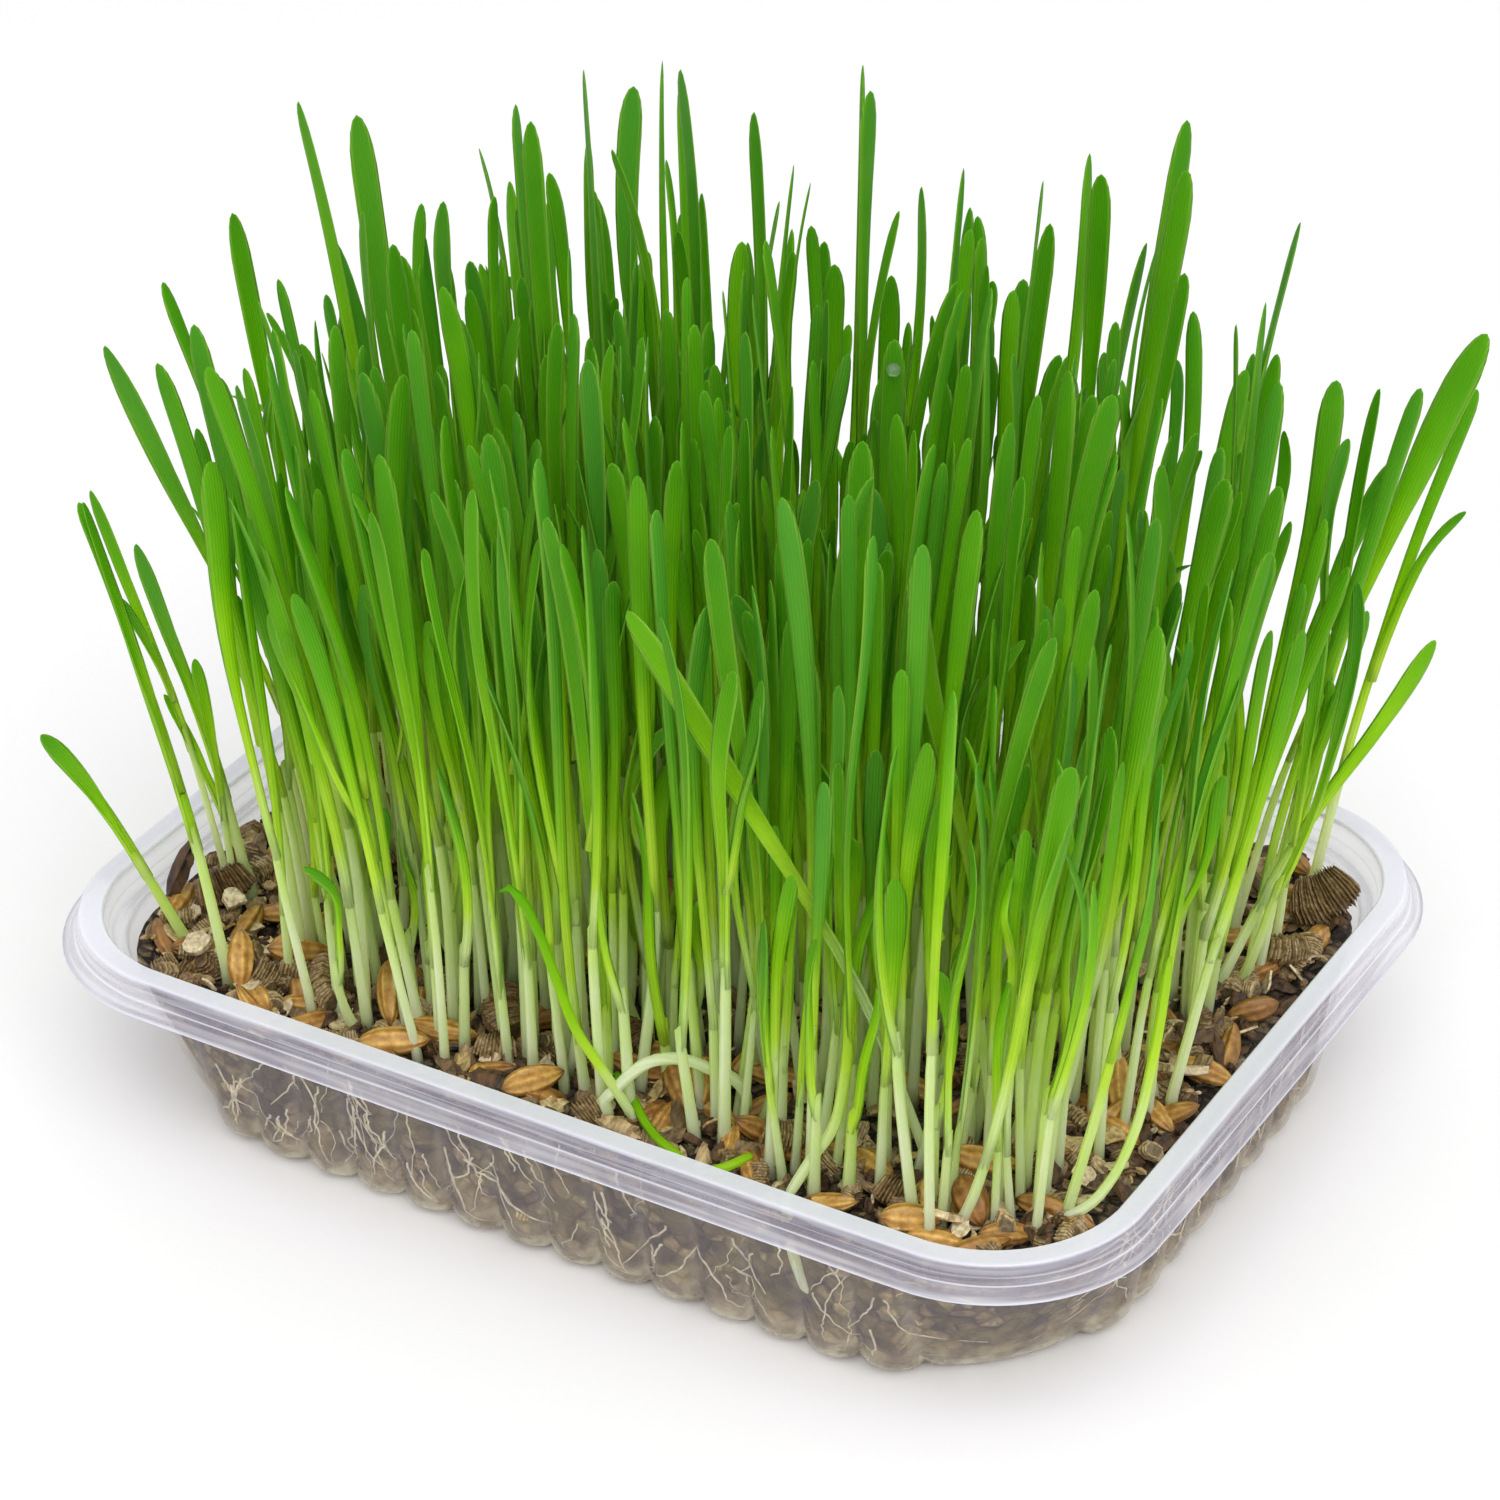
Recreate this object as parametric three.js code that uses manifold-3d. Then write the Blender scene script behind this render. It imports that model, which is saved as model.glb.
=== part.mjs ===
// Wheatgrass growing in a clear rectangular food tray.
// Millimetres, +Z up. The origin is the middle of the tray's flat foot, X runs along its long side.
import * as THREE from 'three';
import { mergeVertices } from 'three/addons/utils/BufferGeometryUtils.js';
import Module from 'manifold-3d';

const wasm = await Module();
wasm.setup();

// Tray
const TRAY_LENGTH = 190;
const TRAY_WIDTH = 144;
const WALL = 0.8;
const LOBE_PITCH_LONG = 8.95;
const LOBE_PITCH_SHORT = 9.35;
const HALF_LOBES_LONG = 7;
const HALF_LOBES_SHORT = 4;
const LOBE_POINTS = 3;
const SMOOTH_CORNER_STEPS = 6;
const RIM_CORNER_STEPS = 7;

// Outer face of the tray's body, from the foot up. Inset is measured in from the lip's outer edge.
const BODY_OUTSIDE = [
  { z: 0, inset: 14.2, radius: 33, lobe: 0.5 },
  { z: 1.2, inset: 12.9, radius: 33, lobe: 1.4 },
  { z: 4, inset: 11.8, radius: 32, lobe: 1.8 },
  { z: 22, inset: 8.5, radius: 26, lobe: 0.7 },
  { z: 26.8, inset: 7.7, radius: 23, lobe: 0 },
];
const BODY_INSIDE = [
  { z: 27.6, inset: 8.6, radius: 22.2, lobe: 0 },
  { z: 22, inset: 9.4, radius: 25.1, lobe: 0.7 },
  { z: 4.2, inset: 12.7, radius: 31.1, lobe: 1.7 },
  { z: WALL, inset: 14.6, radius: 32, lobe: 0.9 },
];

// The stacking ledge, the hanging skirt, the lip and the flat band on top, going round the section.
const RIM_SECTION = [
  { z: 28.6, inset: 6.5, radius: 22.5 },
  { z: 32.2, inset: 6.0, radius: 22.2 },
  { z: 32.2, inset: 3.5, radius: 25 },
  { z: 29.3, inset: 3.0, radius: 25.4 },
  { z: 27.8, inset: 0.3, radius: 28 },
  { z: 28.5, inset: 0, radius: 28.2 },
  { z: 30.0, inset: 2.1, radius: 26.2 },
  { z: 31.9, inset: 2.5, radius: 25.8 },
  { z: 33.0, inset: 3.4, radius: 24.9 },
  { z: 33.0, inset: 6.1, radius: 22.3 },
  { z: 32.3, inset: 6.8, radius: 21.6 },
  { z: 29.2, inset: 7.3, radius: 21.4 },
];

// Growing medium
const GAP = 0.35;
const SOIL_LEVEL = 26;
const SOIL_SECTION = [
  { z: WALL + GAP, inset: 15.4, radius: 31.2 },
  { z: 4.4, inset: 13.3, radius: 30.5 },
  { z: 22, inset: 10.1, radius: 24.4 },
  { z: 24.6, inset: 9.7, radius: 23.8 },
];
const MOUNDS = { height: 0.7, lengthX: 13, lengthY: 11, shift: 0.6 };
const RIPPLES = { height: 0.35, lengthX: 6.1, lengthY: 7.3 };
const CORNER_FALL = { depth: 1.2, start: 70, length: 60 };
const SOIL_RING_SCALES = [0.92, 0.5];
const SOIL_CORNER_STEPS = 2;
const SOIL_ROUGHNESS = 0.3;
const SCATTER_TRIES = 900;
const SCATTER_AREA = { halfX: 82, halfY: 60 };
const CHIP_COUNT = 26;
const CHIP = {
  length: [3.8, 8.2], width: [2.8, 5], height: [2.6, 4.2], lift: 0.2, reach: 2, roll: 0.5, tilt: 0.4,
};
const CHIP_CORNERS = [0.76, 1.1];
const GRAIN_COUNT = 38;
const TUFT_CLEARANCE = 8.6;
const LAID_CLEARANCE = 3.6;
const EDGE_CLEARANCE = 3;
const GRAIN = { length: 10.5, width: 4, height: 3.8, lift: 0.2, reach: 3.8, tilt: 0.3 };
const GRAINS_IN_FIVE = 3;

// Tufts of sprouts, in staggered rows
const TUFT_ROWS = [-52, -31.2, -10.4, 10.4, 31.2, 52];
const TUFT_COLUMNS = 10;
const TUFT_PITCH = 16.4;
const TUFT_JITTER = 3;
const TUFT_SPACING = 14.2;
const TUFT_AREA = { halfX: 77, halfY: 54, radius: 16.6 };
const ROOT_PLUG = { radius: 6, footRadius: 5.2, depth: 7, proud: 0.3, sides: 7 };

// Sprouts. Levels are heights above the soil at which neighbours are kept apart.
const LEVELS = [0, 30, 98, 130];
const SPROUTS_PER_TUFT = 5;
const FOOT_RADIUS = 4;
const TURN_JITTER = 0.5;
const TUFT_SPREAD = [2.5, 4.7];
const FAN_LONG = 0.24;
const FAN_SHORT = 0.22;
const FAN_CURVE = 1.5;
const LEAN_JITTER = 7;
const BLADE_HEIGHT = {
  tallest: 117, drop: 40, rightDrop: 18, backLeftDrop: 8, shortShare: 0.08, short: [0.3, 0.65],
};
const STEM_WIDTH = 2.3;
const STEM_TOP_WIDTH = 2.8;
const STEM_THICKNESS = 1.7;
const BLADE_WIDTH = [3, 4.7];
const TIP_WIDTH_SHARE = 0.7;
const BLADE_THICKNESS = 1.1;
const SHOULDER_SHARE = 0.86;
const LEAST_BLADE = 8;
const ROOTED_DEPTH = 3;
const HOLE_OVERSHOOT = 5;
const CLEAR = 0.4;
const NEIGHBOUR_REACH = 46;
const RELAX_ROUNDS = 90;
const PUSH_STRENGTH = 0.45;
const LEAST_DISTANCE = 0.001;
const STANDOUT_CURVE = 1.3;
const STANDOUT_TURN = 0.35;
const LEAST_DRAFTED = 2;

// Sprouts that stand out from the rest: where each is rooted, and how far its tip leans and rises.
// Those marked alone have no ordinary sprouts beside them in their tuft.
const STANDOUTS = [
  { foot: [-74, -48], tip: [-17, -10, 41], width: 3.6, alone: true },
  { foot: [-62, -54], tip: [-14, -8, 86], width: 2.8, alone: true },
  { foot: [-77.5, -32], tip: [-14, -8, 73], width: 2.8, alone: true },
  { foot: [-70.5, -32.5], tip: [-13, -8, 67], width: 3.8, alone: true },
  { foot: [-74.5, -29.5], tip: [-10, -6, 37], width: 2.8, alone: true },
  { foot: [-74.5, -34.5], tip: [-3, -2, 46], width: 2.8, alone: true },
  { foot: [-67, -18], tip: [-26, -15, 95], width: 5.4, alone: false },
  { foot: [-69, -6], tip: [-13, -8, 112], width: 4.6, alone: false },
  { foot: [75, 50], tip: [15, 15, 90], width: 3, alone: true },
  { foot: [70, 49], tip: [9, 11, 78], width: 3.4, alone: true },
  { foot: [73, 20], tip: [25, 15, 62], width: 4.2, alone: false },
  { foot: [69, 34], tip: [27, 16, 108], width: 5.6, alone: false },
  { foot: [55, 38], tip: [26, 15, 82], width: 4.2, alone: false },
  { foot: [-65, 6], tip: [-17, 0, 122], width: 4.4, alone: false },
  { foot: [-60, 6], tip: [-12, 0, 121], width: 4.6, alone: false },
  { foot: [-40, 16], tip: [-9, 2, 120], width: 4.6, alone: false },
  { foot: [-41, 29], tip: [-8, 5, 123], width: 3.8, alone: false },
  { foot: [-28, 35], tip: [-6, 8, 123], width: 5.2, alone: false },
  { foot: [-15, 31], tip: [-4, 7, 121], width: 4.4, alone: false },
  { foot: [-9, 46], tip: [-2, 10, 124.5], width: 3.4, alone: false },
  { foot: [-4, 44], tip: [-3, 7, 123], width: 5.2, alone: false },
  { foot: [12, 33], tip: [3, 7, 120], width: 3.4, alone: false },
  { foot: [22, 36], tip: [5, 7, 119], width: 4.4, alone: false },
  { foot: [33, 52], tip: [7, 13, 123], width: 4.6, alone: false },
  { foot: [37, 45], tip: [9, 8, 121], width: 4.4, alone: false },
  { foot: [56, 26], tip: [13, 7, 113], width: 4.6, alone: false },
  { foot: [56, -42], tip: [-36, -22, 95], width: 4.4, alone: false },
  { foot: [53, -14], tip: [-10, -16, 93], width: 4.2, alone: false },
  { foot: [29, -15], tip: [-6, -26, 88], width: 4.4, alone: false },
];

const SOIL_SEED = 11;
const SCATTER_SEED = 29;
const TUFT_SEED = 47;
const SHADE_SEED = 83;

const trayPlastic = new THREE.MeshStandardMaterial({
  color: 0xdfe0e4, roughness: 0.18, metalness: 0, transparent: true, opacity: 0.4,
});
const soilMaterial = new THREE.MeshStandardMaterial({ color: 0x3a2c1e, roughness: 0.95, metalness: 0 });
const sproutGreen = new THREE.Color(0x5a9a1e);

// A repeatable stream of numbers from 0 to 1.
function randomStream(seed) {
  const multiplier = 48271;
  const modulus = 2147483647;
  let state = seed * 7919 + 1;
  return () => {
    state = (state * multiplier) % modulus;
    return state / modulus;
  };
}

function signed(random) {
  return random() * 2 - 1;
}

function toSolid(geometry) {
  const bare = geometry.clone();
  bare.deleteAttribute('normal');
  bare.deleteAttribute('uv');
  const merged = mergeVertices(bare);
  return new wasm.Manifold(new wasm.Mesh({
    numProp: 3,
    vertProperties: new Float32Array(merged.attributes.position.array),
    triVerts: new Uint32Array(merged.index.array),
  }));
}

function toGeometry(solid) {
  const mesh = solid.getMesh();
  return indexedGeometry(mesh.vertProperties, mesh.triVerts);
}

function indexedGeometry(positions, triangles) {
  const geometry = new THREE.BufferGeometry();
  geometry.setAttribute('position', new THREE.BufferAttribute(new Float32Array(positions), 3));
  geometry.setIndex(Array.from(triangles));
  geometry.computeVertexNormals();
  return geometry;
}

function joinAll(solids) {
  return solids.reduce((joined, solid) => joined.add(solid));
}

// Point on a rounded rectangle's first quarter, pushed out along the outline's normal by bulge.
function outlinePoint(shape, angle, bulge = 0) {
  const reach = shape.radius + bulge;
  return [shape.centreX + reach * Math.cos(angle), shape.centreY + reach * Math.sin(angle)];
}

function roundedShape({ inset, radius }) {
  return {
    radius,
    centreX: TRAY_LENGTH / 2 - inset - radius,
    centreY: TRAY_WIDTH / 2 - inset - radius,
  };
}

function shortSidePoint(shape, y, bulge) {
  if (y > shape.centreY) {
    return outlinePoint(shape, Math.asin((y - shape.centreY) / shape.radius), bulge);
  }
  return [shape.centreX + shape.radius + bulge, y];
}

function longSidePoint(shape, x, bulge) {
  if (x > shape.centreX) {
    return outlinePoint(shape, Math.acos((x - shape.centreX) / shape.radius), bulge);
  }
  return [x, shape.centreY + shape.radius + bulge];
}

// The quarter runs from the +X axis to the +Y axis.
function flutedQuarter(level) {
  const shape = roundedShape(level);
  const points = [];
  const bulgeAt = (step) => (step % LOBE_POINTS === 0 ? 0 : level.lobe);
  const shortSteps = HALF_LOBES_SHORT * LOBE_POINTS;
  const longSteps = HALF_LOBES_LONG * LOBE_POINTS;
  for (let step = 0; step <= shortSteps; step += 1) {
    points.push(shortSidePoint(shape, (step / LOBE_POINTS) * LOBE_PITCH_SHORT, bulgeAt(step)));
  }
  const shortEnd = HALF_LOBES_SHORT * LOBE_PITCH_SHORT - shape.centreY;
  const longEnd = HALF_LOBES_LONG * LOBE_PITCH_LONG - shape.centreX;
  const startAngle = Math.asin(Math.max(0, shortEnd) / shape.radius);
  const endAngle = Math.acos(Math.max(0, longEnd) / shape.radius);
  for (let step = 1; step < SMOOTH_CORNER_STEPS; step += 1) {
    const angle = startAngle + ((endAngle - startAngle) * step) / SMOOTH_CORNER_STEPS;
    points.push(outlinePoint(shape, angle));
  }
  for (let step = longSteps; step >= 0; step -= 1) {
    points.push(longSidePoint(shape, (step / LOBE_POINTS) * LOBE_PITCH_LONG, bulgeAt(step)));
  }
  return points;
}

function plainQuarter(level, cornerSteps = RIM_CORNER_STEPS) {
  const shape = roundedShape(level);
  const points = [[shape.centreX + shape.radius, 0]];
  for (let step = 0; step <= cornerSteps; step += 1) {
    points.push(outlinePoint(shape, (step / cornerSteps) * (Math.PI / 2)));
  }
  points.push([0, shape.centreY + shape.radius]);
  return points;
}

function quarterToRing(quarter, z) {
  const last = quarter.length - 1;
  const ring = quarter.map(([x, y]) => [x, y, z]);
  for (let i = last - 1; i >= 0; i -= 1) {
    ring.push([-quarter[i][0], quarter[i][1], z]);
  }
  for (let i = 1; i <= last; i += 1) {
    ring.push([-quarter[i][0], -quarter[i][1], z]);
  }
  for (let i = last - 1; i >= 1; i -= 1) {
    ring.push([quarter[i][0], -quarter[i][1], z]);
  }
  return ring;
}

// How far round the ring a point lies, from 0 to 1.
function turnAt(ring, index) {
  if (index >= ring.length) {
    return 1;
  }
  const [x, y] = ring[index];
  return (Math.atan2(y, x) / (2 * Math.PI) + 1) % 1;
}

// Triangles between two closed rings that may have different numbers of points.
function bridge(lower, upper, lowerStart, upperStart, triangles) {
  const alike = lower.length === upper.length;
  let i = 0;
  let j = 0;
  while (i < lower.length || j < upper.length) {
    const nextLower = alike ? i + 1 : turnAt(lower, i + 1);
    const nextUpper = alike ? j + 1 : turnAt(upper, j + 1);
    const lowerIndex = lowerStart + (i % lower.length);
    const upperIndex = upperStart + (j % upper.length);
    const moveLower = j >= upper.length || (i < lower.length && nextLower <= nextUpper);
    if (moveLower) {
      triangles.push(lowerIndex, lowerStart + ((i + 1) % lower.length), upperIndex);
      i += 1;
    } else {
      triangles.push(lowerIndex, upperStart + ((j + 1) % upper.length), upperIndex);
      j += 1;
    }
  }
}

// Closed skin over a stack of rings, with a point in the middle of the first and the last ring.
function loft(rings, firstMiddle, lastMiddle) {
  const positions = [...firstMiddle];
  const starts = [];
  rings.forEach((ring) => {
    starts.push(positions.length / 3);
    ring.forEach((point) => positions.push(...point));
  });
  const lastMiddleIndex = positions.length / 3;
  positions.push(...lastMiddle);
  const triangles = [];
  const first = rings[0];
  first.forEach((_, i) => {
    triangles.push(0, starts[0] + ((i + 1) % first.length), starts[0] + i);
  });
  for (let k = 0; k + 1 < rings.length; k += 1) {
    bridge(rings[k], rings[k + 1], starts[k], starts[k + 1], triangles);
  }
  const last = rings[rings.length - 1];
  const lastStart = starts[rings.length - 1];
  last.forEach((_, i) => {
    triangles.push(lastMiddleIndex, lastStart + i, lastStart + ((i + 1) % last.length));
  });
  return indexedGeometry(positions, triangles);
}

function buildTray() {
  const rings = [
    ...BODY_OUTSIDE.map((level) => quarterToRing(flutedQuarter(level), level.z)),
    ...RIM_SECTION.map((level) => quarterToRing(plainQuarter(level), level.z)),
    ...BODY_INSIDE.map((level) => quarterToRing(flutedQuarter(level), level.z)),
  ];
  return loft(rings, [0, 0, 0], [0, 0, WALL]);
}

// Gentle mounds, lower towards the left front corner.
function soilHeight(x, y) {
  const mounds = MOUNDS.height * Math.sin(x / MOUNDS.lengthX + MOUNDS.shift) * Math.cos(y / MOUNDS.lengthY);
  const ripple = RIPPLES.height * Math.sin(x / RIPPLES.lengthX + y / RIPPLES.lengthY);
  const beyond = Math.max(0, -x - y - CORNER_FALL.start);
  return SOIL_LEVEL + mounds + ripple - (CORNER_FALL.depth * beyond) / CORNER_FALL.length;
}

function insideOutline(x, y, margin) {
  const top = SOIL_SECTION[SOIL_SECTION.length - 1];
  const shape = roundedShape(top);
  const beyondX = Math.max(0, Math.abs(x) - shape.centreX);
  const beyondY = Math.max(0, Math.abs(y) - shape.centreY);
  return Math.hypot(beyondX, beyondY) <= shape.radius - margin;
}

function between(random, [least, most]) {
  return least + (most - least) * random();
}

// An uneven block of bark or swollen mineral flake: a box with its corners knocked about.
function chipSolid(random) {
  const geometry = new THREE.BoxGeometry(
    between(random, CHIP.length),
    between(random, CHIP.width),
    between(random, CHIP.height),
  );
  geometry.deleteAttribute('normal');
  geometry.deleteAttribute('uv');
  const box = mergeVertices(geometry);
  const corners = box.attributes.position;
  for (let i = 0; i < corners.count; i += 1) {
    corners.setX(i, corners.getX(i) * between(random, CHIP_CORNERS));
    corners.setY(i, corners.getY(i) * between(random, CHIP_CORNERS));
    corners.setZ(i, corners.getZ(i) * between(random, CHIP_CORNERS));
  }
  box.rotateX(CHIP.roll * signed(random));
  box.rotateY(CHIP.tilt * signed(random));
  return box;
}

// A husked grain, pointed at both ends.
function grainSolid(random) {
  const grain = new THREE.OctahedronGeometry(0.5, 0);
  grain.scale(GRAIN.length, GRAIN.width, GRAIN.height);
  grain.rotateY(GRAIN.tilt * signed(random));
  return grain;
}

// Chips and grains lie on the soil between the tufts, turned so that they miss the root holes.
function scatterOnSoil(tufts) {
  const random = randomStream(SCATTER_SEED);
  const laid = [];
  const solids = [];
  const wanted = CHIP_COUNT + GRAIN_COUNT;
  for (let attempt = 0; attempt < SCATTER_TRIES && solids.length < wanted; attempt += 1) {
    const isGrain = solids.length % 5 < GRAINS_IN_FIVE;
    const x = SCATTER_AREA.halfX * signed(random);
    const y = SCATTER_AREA.halfY * signed(random);
    const turn = Math.PI * random();
    const { reach } = isGrain ? GRAIN : CHIP;
    const ends = [-reach, 0, reach].map((s) => [x + s * Math.cos(turn), y + s * Math.sin(turn)]);
    const clear = ends.every((end) => isClear(end, tufts, laid));
    if (clear) {
      laid.push(...ends);
      const piece = isGrain ? grainSolid(random) : chipSolid(random);
      piece.rotateZ(turn);
      piece.translate(x, y, soilHeight(x, y) + (isGrain ? GRAIN.lift : CHIP.lift));
      solids.push(toSolid(piece));
    }
  }
  return solids;
}

function isClear([x, y], tufts, laid) {
  const farFrom = (points, least) => points.every(([px, py]) => Math.hypot(x - px, y - py) > least);
  const clearOfOthers = farFrom(tufts, TUFT_CLEARANCE) && farFrom(laid, LAID_CLEARANCE);
  return clearOfOthers && insideOutline(x, y, EDGE_CLEARANCE);
}

function plugSolid(x, y, radius, footRadius, top, bottom) {
  const plug = new THREE.CylinderGeometry(radius, footRadius, top - bottom, ROOT_PLUG.sides);
  plug.rotateX(Math.PI / 2);
  plug.translate(x, y, (top + bottom) / 2);
  return toSolid(plug);
}

function buildMedium(tufts) {
  const random = randomStream(SOIL_SEED);
  const sideRings = SOIL_SECTION.map((level) => quarterToRing(plainQuarter(level), level.z));
  const topLevel = SOIL_SECTION[SOIL_SECTION.length - 1];
  const coarseRing = quarterToRing(plainQuarter(topLevel, SOIL_CORNER_STEPS), topLevel.z);
  const surfaceRings = SOIL_RING_SCALES.map((scale) => coarseRing.map(([x, y]) => [
    x * scale,
    y * scale,
    soilHeight(x * scale, y * scale) + SOIL_ROUGHNESS * signed(random),
  ]));
  const block = loft(
    [...sideRings, ...surfaceRings],
    [0, 0, SOIL_SECTION[0].z],
    [0, 0, soilHeight(0, 0)],
  );
  const holeRadius = ROOT_PLUG.radius + GAP;
  const holes = tufts.map(([x, y]) => plugSolid(
    x,
    y,
    holeRadius,
    holeRadius,
    soilHeight(x, y) + HOLE_OVERSHOOT,
    soilHeight(x, y) - ROOT_PLUG.depth - GAP,
  ));
  return toGeometry(joinAll([toSolid(block), ...scatterOnSoil(tufts)]).subtract(joinAll(holes)));
}

// Moves a tuft back inside the area where its root plug has soil all round it.
function keepInside([x, y]) {
  const { halfX, halfY, radius } = TUFT_AREA;
  const signX = Math.sign(x);
  const signY = Math.sign(y);
  let ax = Math.min(Math.abs(x), halfX);
  let ay = Math.min(Math.abs(y), halfY);
  const beyondX = ax - (halfX - radius);
  const beyondY = ay - (halfY - radius);
  const reach = Math.hypot(beyondX, beyondY);
  if (beyondX > 0 && beyondY > 0 && reach > radius) {
    ax = halfX - radius + (beyondX * radius) / reach;
    ay = halfY - radius + (beyondY * radius) / reach;
  }
  return [signX * ax, signY * ay];
}

function nearestIndex(points, [x, y]) {
  const distances = points.map(([px, py]) => Math.hypot(px - x, py - y));
  return distances.indexOf(Math.min(...distances));
}

// Staggered rows of tufts, nudged at random, with one moved to each standout sprout.
function placeTufts(random) {
  const tufts = [];
  TUFT_ROWS.forEach((rowY, row) => {
    const count = row % 2 === 0 ? TUFT_COLUMNS : TUFT_COLUMNS - 1;
    for (let column = 0; column < count; column += 1) {
      const x = (column - (count - 1) / 2) * TUFT_PITCH + TUFT_JITTER * signed(random);
      const y = rowY + TUFT_JITTER * signed(random);
      tufts.push(keepInside([x, y]));
    }
  });
  const pinned = new Set();
  STANDOUTS.forEach(({ foot }) => {
    const index = nearestIndex(tufts, foot);
    if (!pinned.has(index)) {
      pinned.add(index);
      tufts[index] = keepInside(foot);
    }
  });
  for (let round = 0; round < RELAX_ROUNDS; round += 1) {
    pushTuftsApart(tufts, pinned);
  }
  return tufts;
}

function pushTuftsApart(tufts, pinned) {
  for (let i = 0; i < tufts.length; i += 1) {
    for (let j = i + 1; j < tufts.length; j += 1) {
      const dx = tufts[j][0] - tufts[i][0];
      const dy = tufts[j][1] - tufts[i][1];
      const distance = Math.hypot(dx, dy);
      const missing = TUFT_SPACING - distance;
      if (missing > 0) {
        const shareI = pinned.has(i) && !pinned.has(j) ? 0 : 0.5;
        const shareJ = pinned.has(j) && !pinned.has(i) ? 0 : 0.5;
        const ux = dx / distance;
        const uy = dy / distance;
        tufts[i] = keepInside([tufts[i][0] - ux * missing * shareI, tufts[i][1] - uy * missing * shareI]);
        tufts[j] = keepInside([tufts[j][0] + ux * missing * shareJ, tufts[j][1] + uy * missing * shareJ]);
      }
    }
  }
}

// Lower towards the right end and the far left corner. A few sprouts stay short.
function bladeHeight(random, [x, y]) {
  const { tallest, drop, rightDrop, backLeftDrop, shortShare, short } = BLADE_HEIGHT;
  const atRight = rightDrop * Math.max(0, (2 * x) / TRAY_LENGTH) ** 2;
  const atBackLeft = backLeftDrop * Math.max(0, (y - x) / TRAY_LENGTH);
  const usual = tallest - atRight - atBackLeft - drop * random();
  return random() < shortShare ? usual * between(random, short) : usual;
}

// One sprout's places at each level, before neighbours push it.
function draftSprout(random, tuft, index, count) {
  const [tx, ty] = tuft;
  const angle = (2 * Math.PI * (index + TURN_JITTER * random())) / (count - 1);
  const central = index === count - 1;
  const footRadius = central ? 0 : FOOT_RADIUS;
  const spread = central ? 0 : between(random, TUFT_SPREAD);
  const foot = [tx + footRadius * Math.cos(angle), ty + footRadius * Math.sin(angle)];
  const lean = [LEAN_JITTER * signed(random), LEAN_JITTER * signed(random)];
  const top = LEVELS[LEVELS.length - 1];
  const places = LEVELS.map((level) => {
    const rise = level / top;
    const opened = spread * Math.min(1, level / LEVELS[1]);
    const bend = rise ** FAN_CURVE;
    return [
      foot[0] + opened * Math.cos(angle) + (FAN_LONG * tx + lean[0]) * bend,
      foot[1] + opened * Math.sin(angle) + (FAN_SHORT * ty + lean[1]) * bend,
    ];
  });
  const width = between(random, BLADE_WIDTH);
  const height = bladeHeight(random, tuft);
  return { places, width, height, facing: Math.PI * random(), fixed: false };
}

// A standout is rooted as near to its stated foot as its tuft's plug allows.
function standoutSprout({ foot, tip, width }, tuft) {
  const offset = Math.hypot(foot[0] - tuft[0], foot[1] - tuft[1]);
  const kept = Math.min(1, FOOT_RADIUS / Math.max(offset, FOOT_RADIUS));
  const footX = tuft[0] + (foot[0] - tuft[0]) * kept;
  const footY = tuft[1] + (foot[1] - tuft[1]) * kept;
  const places = LEVELS.map((level) => {
    const bend = (level / tip[2]) ** STANDOUT_CURVE;
    return [footX + (foot[0] + tip[0] - footX) * bend, footY + (foot[1] + tip[1] - footY) * bend];
  });
  const facing = Math.atan2(tip[1], tip[0]) + STANDOUT_TURN;
  return { places, width, height: tip[2], facing, fixed: true };
}

// Every sprout, with the number of the tuft it belongs to.
function placeSprouts(random, tufts) {
  const sprouts = [];
  const standoutTufts = STANDOUTS.map(({ foot }) => nearestIndex(tufts, foot));
  tufts.forEach((tuft, number) => {
    const own = STANDOUTS.filter((_, i) => standoutTufts[i] === number);
    const usual = number % 3 === 0 ? SPROUTS_PER_TUFT + 1 : SPROUTS_PER_TUFT;
    const drafted = own.some(({ alone }) => alone) ? 0 : Math.max(LEAST_DRAFTED, usual - own.length);
    own.forEach((standout) => sprouts.push({ ...standoutSprout(standout, tuft), tuft: number }));
    for (let index = 0; index < drafted; index += 1) {
      sprouts.push({ ...draftSprout(random, tuft, index, drafted), tuft: number });
    }
  });
  return sprouts;
}

function widthAtLevel(sprout, levelIndex) {
  return [STEM_WIDTH, STEM_TOP_WIDTH, sprout.width, sprout.width * TIP_WIDTH_SHARE][levelIndex];
}

function neighbourPairs(sprouts) {
  const pairs = [];
  sprouts.forEach((a, i) => {
    for (let j = i + 1; j < sprouts.length; j += 1) {
      const b = sprouts[j];
      const apart = Math.hypot(a.places[0][0] - b.places[0][0], a.places[0][1] - b.places[0][1]);
      if (apart < NEIGHBOUR_REACH) {
        pairs.push([i, j]);
      }
    }
  });
  return pairs;
}

// Where two sprouts come closest between one level and the next, and how far they must move apart.
function closestInBand(a, b, band) {
  const startX = b.places[band][0] - a.places[band][0];
  const startY = b.places[band][1] - a.places[band][1];
  const changeX = b.places[band + 1][0] - a.places[band + 1][0] - startX;
  const changeY = b.places[band + 1][1] - a.places[band + 1][1] - startY;
  const lengthSquared = changeX * changeX + changeY * changeY;
  const along = lengthSquared > 0 ? -(startX * changeX + startY * changeY) / lengthSquared : 0;
  const t = Math.min(1, Math.max(0, along));
  const x = startX + changeX * t;
  const y = startY + changeY * t;
  const distance = Math.max(LEAST_DISTANCE, Math.hypot(x, y));
  const low = (widthAtLevel(a, band) + widthAtLevel(b, band)) / 2;
  const high = (widthAtLevel(a, band + 1) + widthAtLevel(b, band + 1)) / 2;
  return { t, ux: x / distance, uy: y / distance, missing: low + (high - low) * t + CLEAR - distance };
}

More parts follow.
